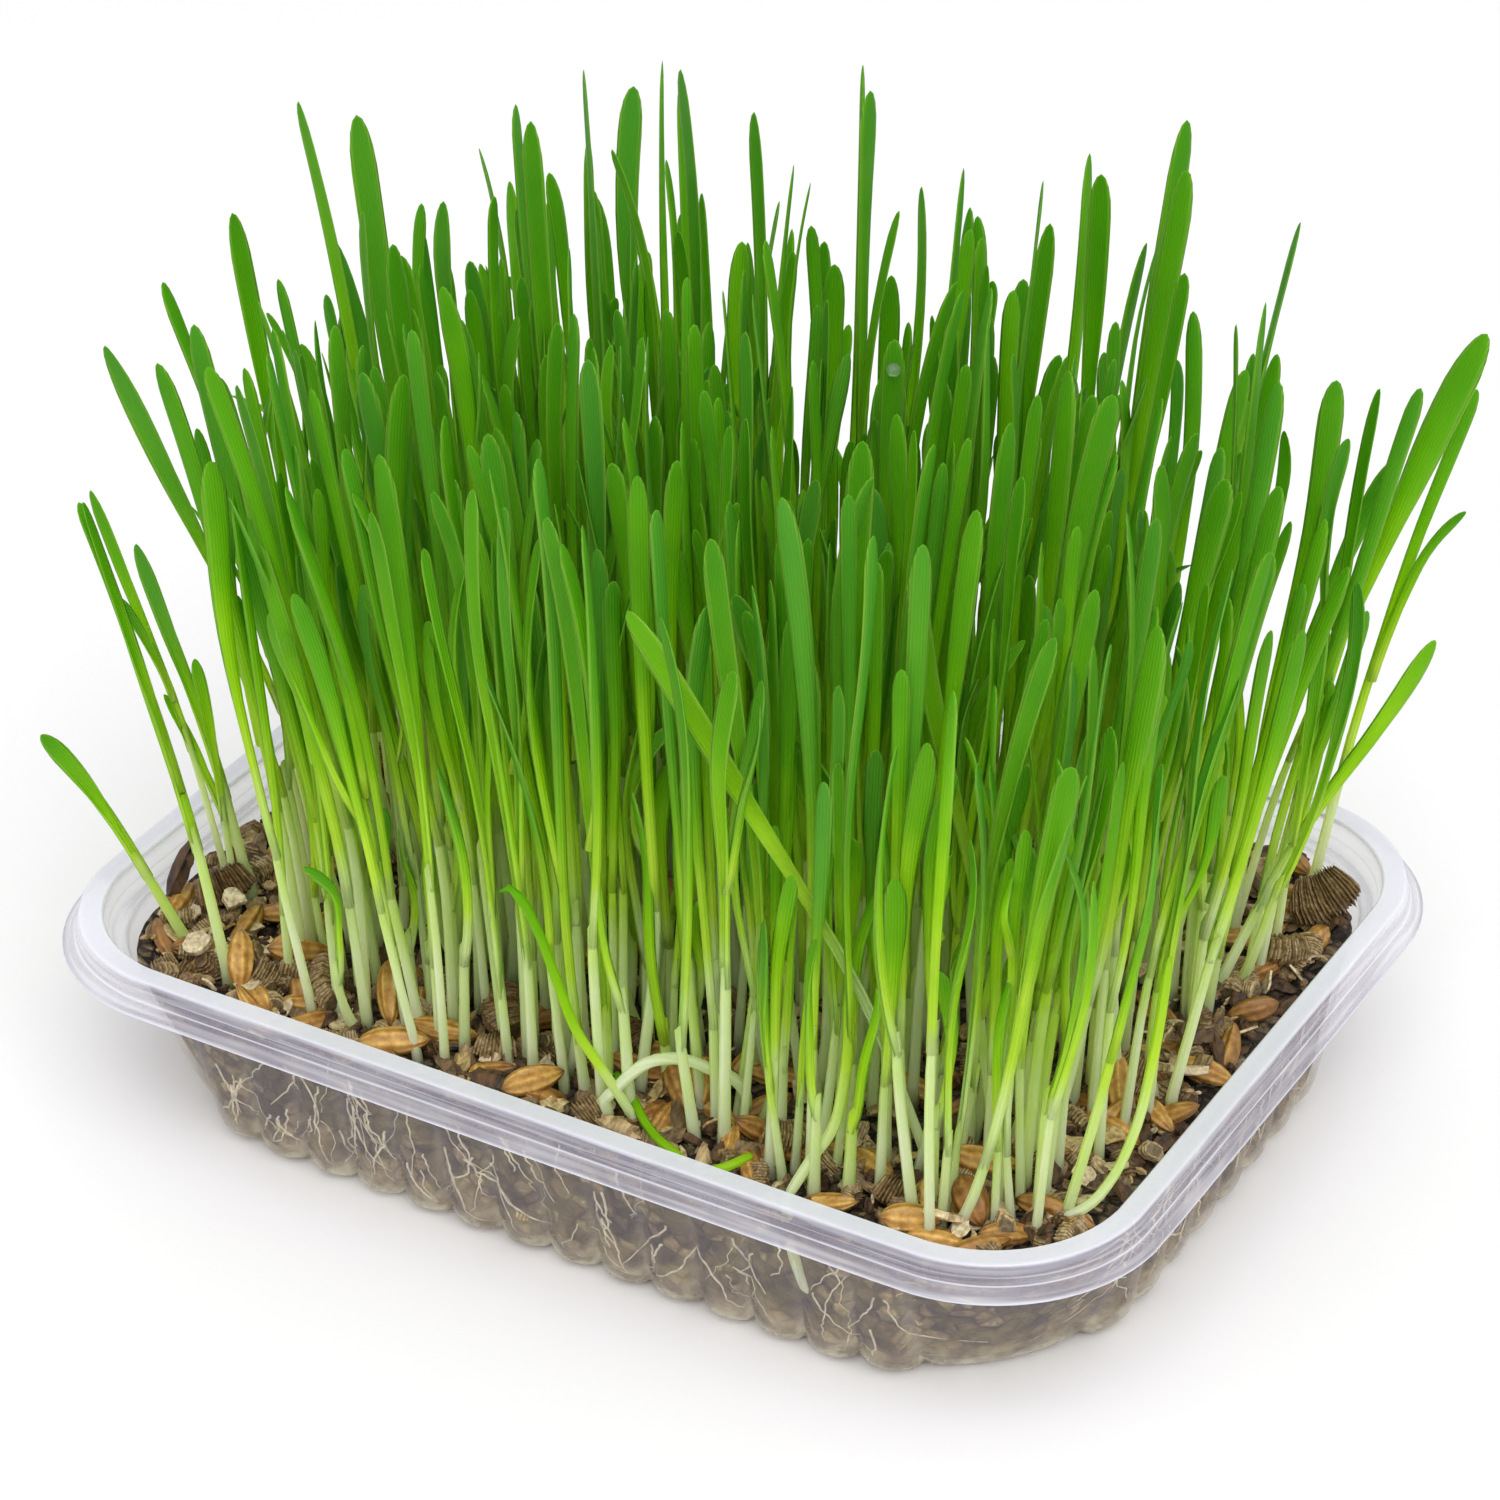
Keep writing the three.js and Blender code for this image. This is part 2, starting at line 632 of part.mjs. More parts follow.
function moveInBand(pushes, sprout, index, band, t, x, y) {
  if (sprout.fixed) {
    return;
  }
  pushes[index][band][0] += band === 0 ? 0 : x * (1 - t);
  pushes[index][band][1] += band === 0 ? 0 : y * (1 - t);
  pushes[index][band + 1][0] += x * t;
  pushes[index][band + 1][1] += y * t;
}

// Bends sprouts clear of each other. The feet stay where they are.
function bendClear(sprouts) {
  const pairs = neighbourPairs(sprouts);
  const bands = LEVELS.length - 1;
  for (let round = 0; round < RELAX_ROUNDS; round += 1) {
    const pushes = sprouts.map(() => LEVELS.map(() => [0, 0]));
    pairs.forEach(([i, j]) => {
      const a = sprouts[i];
      const b = sprouts[j];
      for (let band = 0; band < bands; band += 1) {
        const bothReach = a.height > LEVELS[band] && b.height > LEVELS[band];
        const { t, ux, uy, missing } = closestInBand(a, b, band);
        if (bothReach && missing > 0) {
          const push = missing * PUSH_STRENGTH;
          moveInBand(pushes, a, i, band, t, -ux * push, -uy * push);
          moveInBand(pushes, b, j, band, t, ux * push, uy * push);
        }
      }
    });
    sprouts.forEach((sprout, i) => {
      const moved = pushes[i];
      sprout.places = sprout.places.map(([x, y], level) => [x + moved[level][0], y + moved[level][1]]);
    });
  }
}

function placeAtHeight(sprout, height) {
  const last = LEVELS.length - 2;
  const found = LEVELS.findIndex((level, i) => i <= last && height <= LEVELS[i + 1]);
  const band = found === -1 ? last : found;
  const t = (height - LEVELS[band]) / (LEVELS[band + 1] - LEVELS[band]);
  const [ax, ay] = sprout.places[band];
  const [bx, by] = sprout.places[band + 1];
  return [ax + (bx - ax) * t, ay + (by - ay) * t];
}

// A folded blade: three-cornered section, stem at the foot, widest below the pointed tip.
function sproutSolid(sprout, soilZ) {
  const { height, facing, width } = sprout;
  const shoulder = Math.min(LEVELS[2], SHOULDER_SHARE * height);
  const stations = [
    { height: -ROOTED_DEPTH, width: STEM_WIDTH, thickness: STEM_THICKNESS },
    ...(shoulder > LEVELS[1] + LEAST_BLADE
      ? [{ height: LEVELS[1], width: STEM_TOP_WIDTH, thickness: STEM_THICKNESS }] : []),
    { height: shoulder, width, thickness: BLADE_THICKNESS },
  ];
  const along = [Math.cos(facing), Math.sin(facing)];
  const across = [-along[1], along[0]];
  const positions = [];
  stations.forEach((station) => {
    const [x, y] = placeAtHeight(sprout, Math.max(0, station.height));
    const z = soilZ + station.height;
    const half = station.width / 2;
    const edge = station.thickness / 3;
    const keel = station.thickness - edge;
    positions.push(x + along[0] * half - across[0] * edge, y + along[1] * half - across[1] * edge, z);
    positions.push(x + across[0] * keel, y + across[1] * keel, z);
    positions.push(x - along[0] * half - across[0] * edge, y - along[1] * half - across[1] * edge, z);
  });
  const [tipX, tipY] = placeAtHeight(sprout, height);
  positions.push(tipX, tipY, soilZ + height);
  const triangles = [0, 2, 1];
  for (let k = 0; k + 1 < stations.length; k += 1) {
    for (let corner = 0; corner < 3; corner += 1) {
      const next = (corner + 1) % 3;
      const a = 3 * k + corner;
      const b = 3 * k + next;
      triangles.push(a, b, b + 3, a, b + 3, a + 3);
    }
  }
  const top = 3 * (stations.length - 1);
  const tipIndex = 3 * stations.length;
  for (let corner = 0; corner < 3; corner += 1) {
    triangles.push(top + corner, top + ((corner + 1) % 3), tipIndex);
  }
  return toSolid(indexedGeometry(positions, triangles));
}

// Sprouts on the root clump that they share, which is sunk in its own hole in the medium.
function buildTuft([x, y], sprouts) {
  const soilZ = soilHeight(x, y);
  const { radius, footRadius, proud, depth } = ROOT_PLUG;
  const clump = plugSolid(x, y, radius, footRadius, soilZ + proud, soilZ - depth);
  return toGeometry(joinAll([clump, ...sprouts.map((sprout) => sproutSolid(sprout, soilZ))]));
}

function namedMesh(name, geometry, material) {
  const mesh = new THREE.Mesh(geometry, material);
  mesh.name = name;
  return mesh;
}

const tuftRandom = randomStream(TUFT_SEED);
const tuftPlaces = placeTufts(tuftRandom);
const allSprouts = placeSprouts(tuftRandom, tuftPlaces);
bendClear(allSprouts);

const part = new THREE.Group();
part.add(namedMesh('tray', buildTray(), trayPlastic));
part.add(namedMesh('growing_medium', buildMedium(tuftPlaces), soilMaterial));

const shadeRandom = randomStream(SHADE_SEED);
tuftPlaces.forEach((tuft, number) => {
  const own = allSprouts.filter((sprout) => sprout.tuft === number);
  const shade = sproutGreen.clone().offsetHSL(0.02 * signed(shadeRandom), 0, 0.04 * signed(shadeRandom));
  const material = new THREE.MeshStandardMaterial({ color: shade, roughness: 0.6, metalness: 0 });
  const name = `sprout_tuft_${String(number + 1).padStart(2, '0')}`;
  part.add(namedMesh(name, buildTuft(tuft, own), material));
});

export default part;
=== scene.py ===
import math
import random

import bpy
import numpy as np
from mathutils import Euler, Matrix, Vector, noise


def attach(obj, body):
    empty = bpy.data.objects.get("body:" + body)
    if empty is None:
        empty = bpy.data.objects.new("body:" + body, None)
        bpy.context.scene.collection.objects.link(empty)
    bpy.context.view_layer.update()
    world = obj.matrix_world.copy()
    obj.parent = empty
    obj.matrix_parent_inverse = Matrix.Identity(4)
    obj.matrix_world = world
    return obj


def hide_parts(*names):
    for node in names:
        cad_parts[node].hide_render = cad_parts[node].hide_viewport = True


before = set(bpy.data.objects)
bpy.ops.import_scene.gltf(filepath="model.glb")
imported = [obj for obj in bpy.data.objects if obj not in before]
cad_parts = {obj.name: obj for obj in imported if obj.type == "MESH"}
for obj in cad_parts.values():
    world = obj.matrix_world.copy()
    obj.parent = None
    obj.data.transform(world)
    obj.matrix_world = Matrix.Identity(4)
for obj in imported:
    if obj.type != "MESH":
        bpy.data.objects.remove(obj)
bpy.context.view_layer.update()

# Lengths are in millimetres up to the moment a mesh is made, and angles in radians.
MM = 0.001
ANY_TURN = (0, 6.28)

# Camera, fitted to the tray's rim and foot in the photograph, with its angles in degrees
CAMERA_AZIMUTH = 30.325
CAMERA_ELEVATION = 32.089
CAMERA_ROLL = -0.234
CAMERA_DISTANCE = 863.42
CAMERA_TARGET = (-46.574, 81.143, 0)
CAMERA_LENS = 116.107

# Studio, in metres and watts
WORLD_STRENGTH = 0.93
KEY_PLACE = (0.5, -0.62, 1.15)
KEY_TARGET = (0, 0, 0.06)
KEY_SIZE = 1.0
KEY_POWER = 11
FLOOR_HALF = 4.0
FLOOR_LEVEL = -0.0004

# Tray, with the same driving sizes as the CAD source
TRAY_LENGTH = 190
TRAY_WIDTH = 144
WALL = 0.8
LOBE_PITCH_LONG = 8.95
LOBE_PITCH_SHORT = 9.35
HALF_LOBES_LONG = 7
HALF_LOBES_SHORT = 4
LOBE_POINTS = 8
CORNER_STEPS = 18
WALL_PLACE_CORNER_STEPS = 8
# Each level is height, inset from the lip's edge, corner radius, lobe depth and how frosted the sheet is,
# where single rings with a high value paint highlight lines.
BODY_OUTSIDE = [
    (0, 14.8, 32, 0.2, 0.05), (0, 14.5, 33, 0.7, 0.06), (0.5, 13.8, 33, 1.8, 0.06),
    (1.7, 13.1, 33, 2.5, 0.05), (4, 12.3, 32, 2.7, 0.04), (9, 11.2, 30.4, 2.2, 0.03),
    (15, 9.95, 28.4, 1.55, 0.03), (21, 8.7, 26.3, 0.8, 0.04), (24.6, 8.1, 24.6, 0.3, 0.05),
    (26.8, 7.7, 23, 0, 0.08),
]
# Single rings with a high frost value, as at the lip's edge and between the skirt's steps, paint thin
# highlight lines; the flat band on top is frosted.
RIM_SECTION = [
    (28.6, 6.5, 22.5, 0, 0.1), (32.0, 6.2, 22.2, 0, 0.08), (32.3, 5.8, 22.4, 0, 0.15),
    (32.3, 3.8, 24.7, 0, 0.15), (31.9, 3.4, 25, 0, 0.05), (29.3, 2.9, 25.4, 0, 0.04),
    (28.2, 0.9, 27.4, 0, 0.1), (27.9, 0.3, 28, 0, 0.3), (28.2, -0.1, 28.4, 0, 1.0),
    (28.4, 0.0, 28.2, 0, 0.6), (28.7, 0.3, 28.0, 0, 0.42), (29.3, 1.0, 27.3, 0, 0.46),
    (29.6, 1.45, 26.9, 0, 0.34), (29.85, 1.75, 26.5, 0, 0.36), (30.0, 1.95, 26.35, 0, 0.8),
    (30.1, 2.05, 26.3, 0, 0.4), (30.6, 2.14, 26.2, 0, 0.36), (31.0, 2.2, 26.1, 0, 0.4),
    (31.15, 2.26, 26.0, 0, 0.34), (31.25, 2.3, 26.0, 0, 0.66), (31.35, 2.34, 25.9, 0, 0.38),
    (32.2, 2.5, 25.7, 0, 0.4), (32.8, 2.7, 25.6, 0, 0.5), (33.0, 2.9, 25.4, 0, 0.78),
    (33.1, 3.1, 25.2, 0, 0.86), (33.1, 3.6, 24.7, 0, 0.84), (33.1, 4.0, 24.3, 0, 0.84),
    (33.1, 5.6, 22.8, 0, 0.84), (33.1, 6.0, 22.4, 0, 0.84), (33.1, 6.3, 22.2, 0, 0.9),
    (32.8, 6.6, 21.9, 0, 0.6), (32.2, 6.8, 21.7, 0, 0.14), (30.2, 7.1, 21.5, 0, 0.1),
    (30.0, 7.13, 21.5, 0, 0.34), (29.8, 7.16, 21.5, 0, 0.1),
]
# The higher values near the top of the inside paint highlight lines as well.
BODY_INSIDE = [
    (28.4, 7.5, 21.5, 0, 0.2), (28.1, 7.8, 21.7, 0, 0.6), (27.9, 8.7, 22.0, 0, 0.35),
    (27.7, 8.95, 22.1, 0, 0.5), (26.6, 9.1, 22.4, 0, 0.06), (24.4, 9.2, 24.2, 0.25, 0.04),
    (21, 9.6, 25.6, 0.7, 0.02), (15, 10.85, 27.7, 1.45, 0.02), (9, 12.2, 29.6, 2.15, 0.02),
    (4.2, 13.3, 31.1, 2.65, 0.03), (1.9, 14.3, 32, 2.2, 0.03), (1.0, 15.1, 32, 1.2, 0.03),
    (WALL, 15.8, 32, 0.3, 0.03),
]
DEEPEST_LOBE = 2.7
VALLEY_LIFT = 1.3
LIFT_TOP = 6
# Painted highlight lines down the valleys between the wall's lobes.
VALLEY_HIGHLIGHT = 0.16
HAZE_TOP = 24
HAZE_FADE = 2.5

# Growing medium
SOIL_LEVEL = 26
SOIL_SECTION = [
    (0.9, 16.2, 31.8, 0.5), (1.0, 15.0, 31.8, 1.5), (1.8, 14.3, 31.8, 2.2), (4.2, 13.38, 31, 2.62),
    (9, 12.28, 29.5, 2.12), (15, 10.93, 27.6, 1.42), (21, 9.68, 25.5, 0.67), (24.4, 9.3, 24.1, 0.22),
]
SOIL_CORNER_STEPS = 10
SOIL_SURFACE_RINGS = 34
CLOD_HEIGHT = 1.0
CLOD_SIZE = 3.1
SURFACE_DROP = 0.9
SIDE_SWELL = 0.3
SIDE_SWELL_SIZE = 2.6

# Chips and grains laid on the soil by the CAD source's own rule
SCATTER_SEED = 29
SCATTER_TRIES = 900
SCATTER_HALF = (82, 60)
SCATTER_OUTLINE = (9.7, 23.8)
CHIP_COUNT = 26
GRAIN_COUNT = 38
CHIP_SIZE = ((3.8, 8.2), (2.8, 5), (2.6, 4.2))
CHIP_REACH = 2
CHIP_CORNER_DRAWS = 24
CHIP_TILT = 0.4
CHIP_ROLL = 0.5
GRAIN_SIZE = (10.5, 4, 3.8)
GRAIN_REACH = 3.8
GRAIN_TILT = 0.3
GRAINS_IN_FIVE = 3
TUFT_CLEARANCE = 8.6
LAID_CLEARANCE = 3.6
EDGE_CLEARANCE = 3
LAID_LIFT = 1.0
LAID_FLATTER = 0.9

# More litter, which the plain solids leave out
LITTER_SEED = 61
OPEN_STRIP = 20
SHADED_SHARE = 0.3
PLACE_MARGIN = 4
CHIPS_RIDGED = 0.6
MORE_GRAINS = 170
MORE_GRAIN_SIZE = ((8.6, 11.4), (3.4, 4.1), (2.9, 3.5))
CRUMBS = 1300
CRUMB_SIZE = ((0.8, 2.2), (0.7, 1.6), (0.5, 1.3))
CRUMBS_OF_BARK = 0.66
# Each kind has its count, least distance from the wall, ranges of its three sizes, range of its height over
# the soil, spread of its tilt, and spread of its roll, where none means any roll.
MORE_BARK = (640, 1.2, ((2.4, 6.8), (1.6, 3.8), (1.2, 2.8)), (-0.4, 2.2), 0.4, 0.5)
MORE_RIDGED = (340, 1.4, ((2.6, 6.4), (2.6, 5.2), (2.4, 4.4)), (0.0, 2.3), 0.5, None)
MORE_FLAKES = (240, 1.6, ((2.5, 6.5), (2.0, 4.6), 0.45), (0.8, 3.0), 0.45, 0.45)
FLAKE_BENDS = (0.023, 0.027)
FLAKE_SIDES = 12
FLAKE_SECTION = ((0.35, -0.5), (0.8, -0.5), (1.0, -0.4), (1.0, 0.4), (0.8, 0.5), (0.35, 0.5))
GRAIN_RINGS = 13
GRAIN_SIDES = 16
RIDGED_SIDES = 8
LEAST_PLATES = 5
PLATE_PITCH = 0.5
NAMED_CURVE = 0.05
WALL_PIECES = 330
WALL_FLAKE_THICKNESS = 0.4
WALL_PIECE_SIZE = ((1.8, 5.0), (1.0, 1.5), (1.4, 3.8))
# Pieces of the litter that stand out: kind, place, turn, tilt, roll, size and tone
NAMED_LITTER = [
    ("bark", (-82, -39, 31.5), 0.6, -1.15, 0.2, (10, 4.6, 3.2), 0.1),
    ("ridged", (-74.5, -37.5, 30), 0.9, -0.3, 0.2, (8, 6.5, 5.5), 0.1),
    ("flake", (-70.5, -41, 31.2), 0.4, 0.3, 0.5, (4.5, 3.6, 1.4), 0.0),
    ("flake", (-69.2, -52.6, 29.8), 0.4, -0.3, 0.4, (5.4, 4.2, 1.2), 0.1),
    ("flake", (-64, -52, 29.6), 1.2, 0.3, 0.2, (3.4, 3.0, 1.2), 0.1),
    ("grain", (-60, -53.5, 30.2), -1.04, 0.8, 0.4, (10, 4.4, 4), 0.3),
    ("grain", (-54, -46, 29.8), 0.7, 0.2, 1.4, (10.5, 4.2, 3.8), 0.5),
    ("ridged", (-46, -51, 29.6), -0.9, 0.2, 0.1, (9.5, 5.4, 4.6), 0.5),
    ("ridged", (-52, -50, 29.4), 0.2, 0.2, 0.1, (4.5, 4, 3.6), 0.9),
    ("grain", (-35, -49, 30.2), -1.0, 0.45, 2.0, (12, 4.6, 4.2), 0.2),
    ("grain", (-28, -58.6, 29.4), 0.45, -0.1, 1.0, (11.5, 4.3, 3.8), 0.1),
    ("grain", (-23, -52, 29.4), 0.3, 0.1, 3.0, (11, 4.2, 3.8), 0.3),
    ("ridged", (-16.8, -45.6, 30.6), -0.95, 0.15, 0.2, (10, 7, 6), 0.2),
    ("ridged", (-13.5, -52.5, 29.6), 0.5, 0.1, 0.3, (6, 5, 4.4), 0.5),
    ("grain", (-3.9, -57, 29.8), 0.8, -0.15, 0.6, (10, 4.4, 4), 0.0),
    ("bark", (-9.5, -59.5, 29), 0.5, 0.2, 0.3, (7, 4, 3), 0.1),
    ("bark", (13.6, -60.3, 29.2), -0.1, 0.1, 0.4, (7.4, 3, 2.2), 0.95),
    ("grain", (16, -47.8, 30.6), -0.75, 0.35, 1.2, (11.5, 4.6, 4), 0.8),
    ("grain", (19.4, -46.4, 31.4), -1.1, 0.9, 0.3, (8, 4.8, 4.4), 0.0),
    ("grain", (9, -46.5, 30.6), 0.3, 0.2, 2.4, (10.5, 4.2, 3.8), 0.9),
    ("ridged", (4, -41, 30.8), -0.4, 0.3, 0.2, (6.5, 5, 4.6), 0.1),
    ("ridged", (36, -50, 30), 0.6, 0.2, 0.1, (6.5, 5.5, 5), 0.6),
    ("ridged", (57, -53.5, 29.6), 0.2, 0.3, 0.2, (6, 5, 4.6), 0.3),
    ("flake", (65, -56, 30.2), 0.3, 0.2, -0.7, (6.4, 5.2, 1.2), 0.4),
    ("grain", (61.5, -58, 29.6), 0.6, 0.1, 0.8, (9.5, 4.2, 3.6), 0.1),
    ("grain", (67.6, -51, 30.4), -0.6, 0.6, 0.3, (8.4, 5, 4.6), 1.0),
    ("grain", (73.9, -15.2, 30.4), -1.0, 0.7, 1.6, (11, 4.4, 4), 0.2),
    ("grain", (64.5, -41, 30.2), 0.4, 0.15, 0.4, (11, 4.4, 4), 0.3),
    ("ridged", (73, -9.9, 30), 0.1, 0.2, 0.2, (6, 5, 4.4), 0.7),
    ("flake", (80, -7, 30.6), 0.5, 0.1, -0.6, (7.4, 5.4, 1.3), 0.2),
    ("bark", (78, 3, 30), 1.2, 0.3, 0.4, (7.5, 4.4, 3.4), 0.5),
    ("ridged", (79.5, 45.5, 31.4), 0.6, -0.5, 0.3, (9.5, 8, 7), 0.35),
    ("ridged", (80, 31, 30), 0.9, 0.2, 0.3, (6.5, 5.5, 5), 0.5),
]

# Roots behind the wall
ROOT_SEED = 19
ROOT_STRANDS = 200
ROOT_DEPTH = 0.08
ROOT_SIDES = 5
ROOT_TOPS = (9, 25)
ROOT_FLOOR = 2.4
ROOT_THICKNESS = (0.08, 0.25)

# Tufts and sprouts, by the CAD source's own rule
TUFT_SEED = 47
TUFT_ROWS = [-52, -31.2, -10.4, 10.4, 31.2, 52]
TUFT_COLUMNS = 10
TUFT_PITCH = 16.4
TUFT_JITTER = 3
TUFT_SPACING = 14.2
TUFT_HALF = (77, 54)
TUFT_CORNER = 16.6
LEVELS = [0, 30, 98, 130]
SPROUTS_PER_TUFT = 5
FOOT_RADIUS = 4
TURN_JITTER = 0.5
TUFT_SPREAD = (2.5, 4.7)
FAN_LONG = 0.24
FAN_SHORT = 0.22
FAN_CURVE = 1.5
LEAN_JITTER = 7
TALLEST = 117
HEIGHT_DROP = 40
RIGHT_DROP = 18
BACK_LEFT_DROP = 8
SHORT_SHARE = 0.08
SHORT_HEIGHT = (0.3, 0.65)
STEM_WIDTH = 2.3
STEM_TOP_WIDTH = 2.8
BLADE_WIDTH = (3, 4.7)
TIP_WIDTH_SHARE = 0.7
CLEAR = 0.4
NEIGHBOUR_REACH = 46
RELAX_ROUNDS = 90
PUSH_STRENGTH = 0.45
LEAST_DISTANCE = 0.001
STANDOUT_CURVE = 1.3
STANDOUT_TURN = 0.35
LEAST_DRAFTED = 2
# Sprouts that stand out: foot, how far the tip leans and rises, width, and whether it has its tuft to itself
STANDOUTS = [
    ((-74, -48), (-17, -10, 41), 3.6, True),
    ((-62, -54), (-14, -8, 86), 2.8, True),
    ((-77.5, -32), (-14, -8, 73), 2.8, True),
    ((-70.5, -32.5), (-13, -8, 67), 3.8, True),
    ((-74.5, -29.5), (-10, -6, 37), 2.8, True),
    ((-74.5, -34.5), (-3, -2, 46), 2.8, True),
    ((-67, -18), (-26, -15, 95), 5.4, False),
    ((-69, -6), (-13, -8, 112), 4.6, False),
    ((75, 50), (15, 15, 90), 3, True),
    ((70, 49), (9, 11, 78), 3.4, True),
    ((73, 20), (25, 15, 62), 4.2, False),
    ((69, 34), (27, 16, 108), 5.6, False),
    ((55, 38), (26, 15, 82), 4.2, False),
    ((-65, 6), (-17, 0, 122), 4.4, False),
    ((-60, 6), (-12, 0, 121), 4.6, False),
    ((-40, 16), (-9, 2, 120), 4.6, False),
    ((-41, 29), (-8, 5, 123), 3.8, False),
    ((-28, 35), (-6, 8, 123), 5.2, False),
    ((-15, 31), (-4, 7, 121), 4.4, False),
    ((-9, 46), (-2, 10, 124.5), 3.4, False),
    ((-4, 44), (-3, 7, 123), 5.2, False),
    ((12, 33), (3, 7, 120), 3.4, False),
    ((22, 36), (5, 7, 119), 4.4, False),
    ((33, 52), (7, 13, 123), 4.6, False),
    ((37, 45), (9, 8, 121), 4.4, False),
    ((56, 26), (13, 7, 113), 4.6, False),
    ((56, -42), (-36, -22, 95), 4.4, False),
    ((53, -14), (-10, -16, 93), 4.2, False),
    ((29, -15), (-6, -26, 88), 4.4, False),
]
# The standout with this foot is a young leaf, limier than the rest.
YOUNG_FOOT = (56, -42)
YOUNG_TONE = 0.2
YOUNG_SHIFT = -0.2

# More sprouts between the tufts, which the plain solids leave out
SPROUT_DRAW_SEED = 5
EXTRA_SPROUTS = 350
EXTRA_TRIES = 9000
EXTRA_HALF = (78, 56)
EXTRA_SPACING = 2.6
EXTRA_LEAN = (-12, 12)
EXTRA_WIDTH = (2.4, 4.0)
EXTRA_SHORTER = 4
EXTRA_HEIGHT_DROP = (0, 50)
EXTRA_LEFT_DROP = 24
EXTRA_RIGHT_RISE = 6
EXTRA_SHORT_SHARE = 0.2
EXTRA_SHORT_HEIGHT = (0.3, 0.7)
EXTRA_FACING = (0.53, 0.8)
STANDOUT_ROOM = 9
# Along this stretch of the front, x from and to and y below, extra sprouts stay under this height.
LOW_PATCH = (8, 66, -36, 58)

# Blades and sheaths
BLADE_RINGS = 17
BLADE_ACROSS = np.linspace(-1, 1, 6)
BLADE_ROUND = np.concatenate([BLADE_ACROSS, BLADE_ACROSS[-2:0:-1]])
BLADE_EDGE = 0.12
BLADE_MIDDLE = 0.28
SHEATH_SIDES = 8
SHEATH_RINGS = 7
SHEATH_AROUND = np.arange(SHEATH_SIDES) / SHEATH_SIDES
SHEATH_ROOTED = 2.5
SHEATH_LENGTH = (14, 42)
SHEATH_SHARE = 0.42
STEM_THICKNESS = (1.15, 1.8)
HOOKED_SHARE = 0.16
HOOK_REACH = 2.6
HOOK_FADE = 5
LEVEL_SMOOTHING = 11
VISUAL_WIDTH = (0.74, 0.96)
SECOND_LEAF_SHARE = 0.42
SECOND_LEAF_LEAST = 60

# Shoots that lie, arch or hook: path, thickness, greenness at both ends
NAMED_SHOOTS = [
    ([(9.4, -56.9, 27), (9.4, -56.9, 28.5), (8.9, -57.2, 30.7), (10.5, -56.2, 33), (12.6, -55, 35.9),
      (15.1, -53.6, 38), (17.8, -52, 38.5), (20.2, -50.6, 37.9), (22.7, -49.2, 36.5), (25.3, -47.6, 35),
      (26.8, -46.8, 32.9), (27.6, -46.3, 29)], 1.9, (0.02, 0.02)),
    ([(22.4, -52.6, 28.6), (23.3, -51.6, 27.8), (23.9, -50, 28), (24.3, -48.6, 29.8), (24.4, -48.4, 33.7),
      (24.1, -48.4, 38), (23, -48, 46)], 1.7, (0.0, 0.1)),
    ([(14.1, -55.9, 27), (11.5, -56.4, 31.5), (8.9, -57, 35.8), (7.1, -57.4, 38.6), (5.3, -57.8, 41.5),
      (1.7, -58.6, 51.9), (-1.1, -59.2, 60.2), (-3.3, -59.7, 64.6), (-5, -60, 66), (-6.4, -60.3, 65)],
     1.6, (0.05, 0.8)),
    ([(7, -50.6, 31), (9, -52.1, 30.4), (12.1, -54, 29.8), (17, -57.9, 29.2), (21, -59.9, 28.8),
      (24.5, -60.3, 28)], 1.5, (0.75, 0.5)),
    ([(29.2, -60.4, 27.6), (31.2, -60.2, 28.6), (32.8, -58, 29), (33.4, -55.5, 28.6)], 1.5, (0.42, 0.42)),
    ([(41.6, -59.6, 26.5), (42.6, -58.4, 29), (44, -56.8, 32.5), (46.2, -54.6, 37), (47, -52, 46),
      (46, -49, 60)], 1.7, (0.0, 0.35)),
    ([(41.5, -59.6, 26), (43, -61.2, 23.2), (44.1, -61.9, 19.5), (45.4, -61.6, 15), (46.4, -61.2, 12)],
     2.0, (0.12, 0.0)),
    ([(79, -45, 28.2), (80.4, -44.8, 28.6), (82.4, -42.6, 29.6), (84, -38, 32.4), (84.6, -33, 37),
      (84.4, -27, 47), (83, -20, 60)], 1.6, (0.0, 0.4)),
]
SHOOT_RINGS = 26

# A water drop that hangs on one blade: its blade's foot, lean and height, and how far below the tip it sits
DROP_BLADE = {"foot": (16, 10), "lean": (4, 2), "height": 104, "width": 4.6, "facing": 0.35}
DROP_BELOW_TIP = 5
DROP_SIZE = 2.2
DROP_RINGS = 13
DROP_SIDES = 20
DROP_AWAY = (0.5, -0.85, 0.35)


class Stream:
    """The CAD source's repeatable numbers from 0 to 1."""

    def __init__(self, seed):
        self.state = seed * 7919 + 1

    def next(self):
        self.state = (self.state * 48271) % 2147483647
        return self.state / 2147483647

    def signed(self):
        return self.next() * 2 - 1

    def between(self, least, most):
        return least + (most - least) * self.next()


def soil_height(x, y):
    """The soil's mounds, ripples and the corner where it falls away, as in the CAD source."""
    mounds = 0.7 * math.sin(x / 13 + 0.6) * math.cos(y / 11)
    ripple = 0.35 * math.sin(x / 6.1 + y / 7.3)
    corner_fall = 1.2 * max(0.0, (-x - y - 70) / 60)
    return SOIL_LEVEL + mounds + ripple - corner_fall


# Mesh making


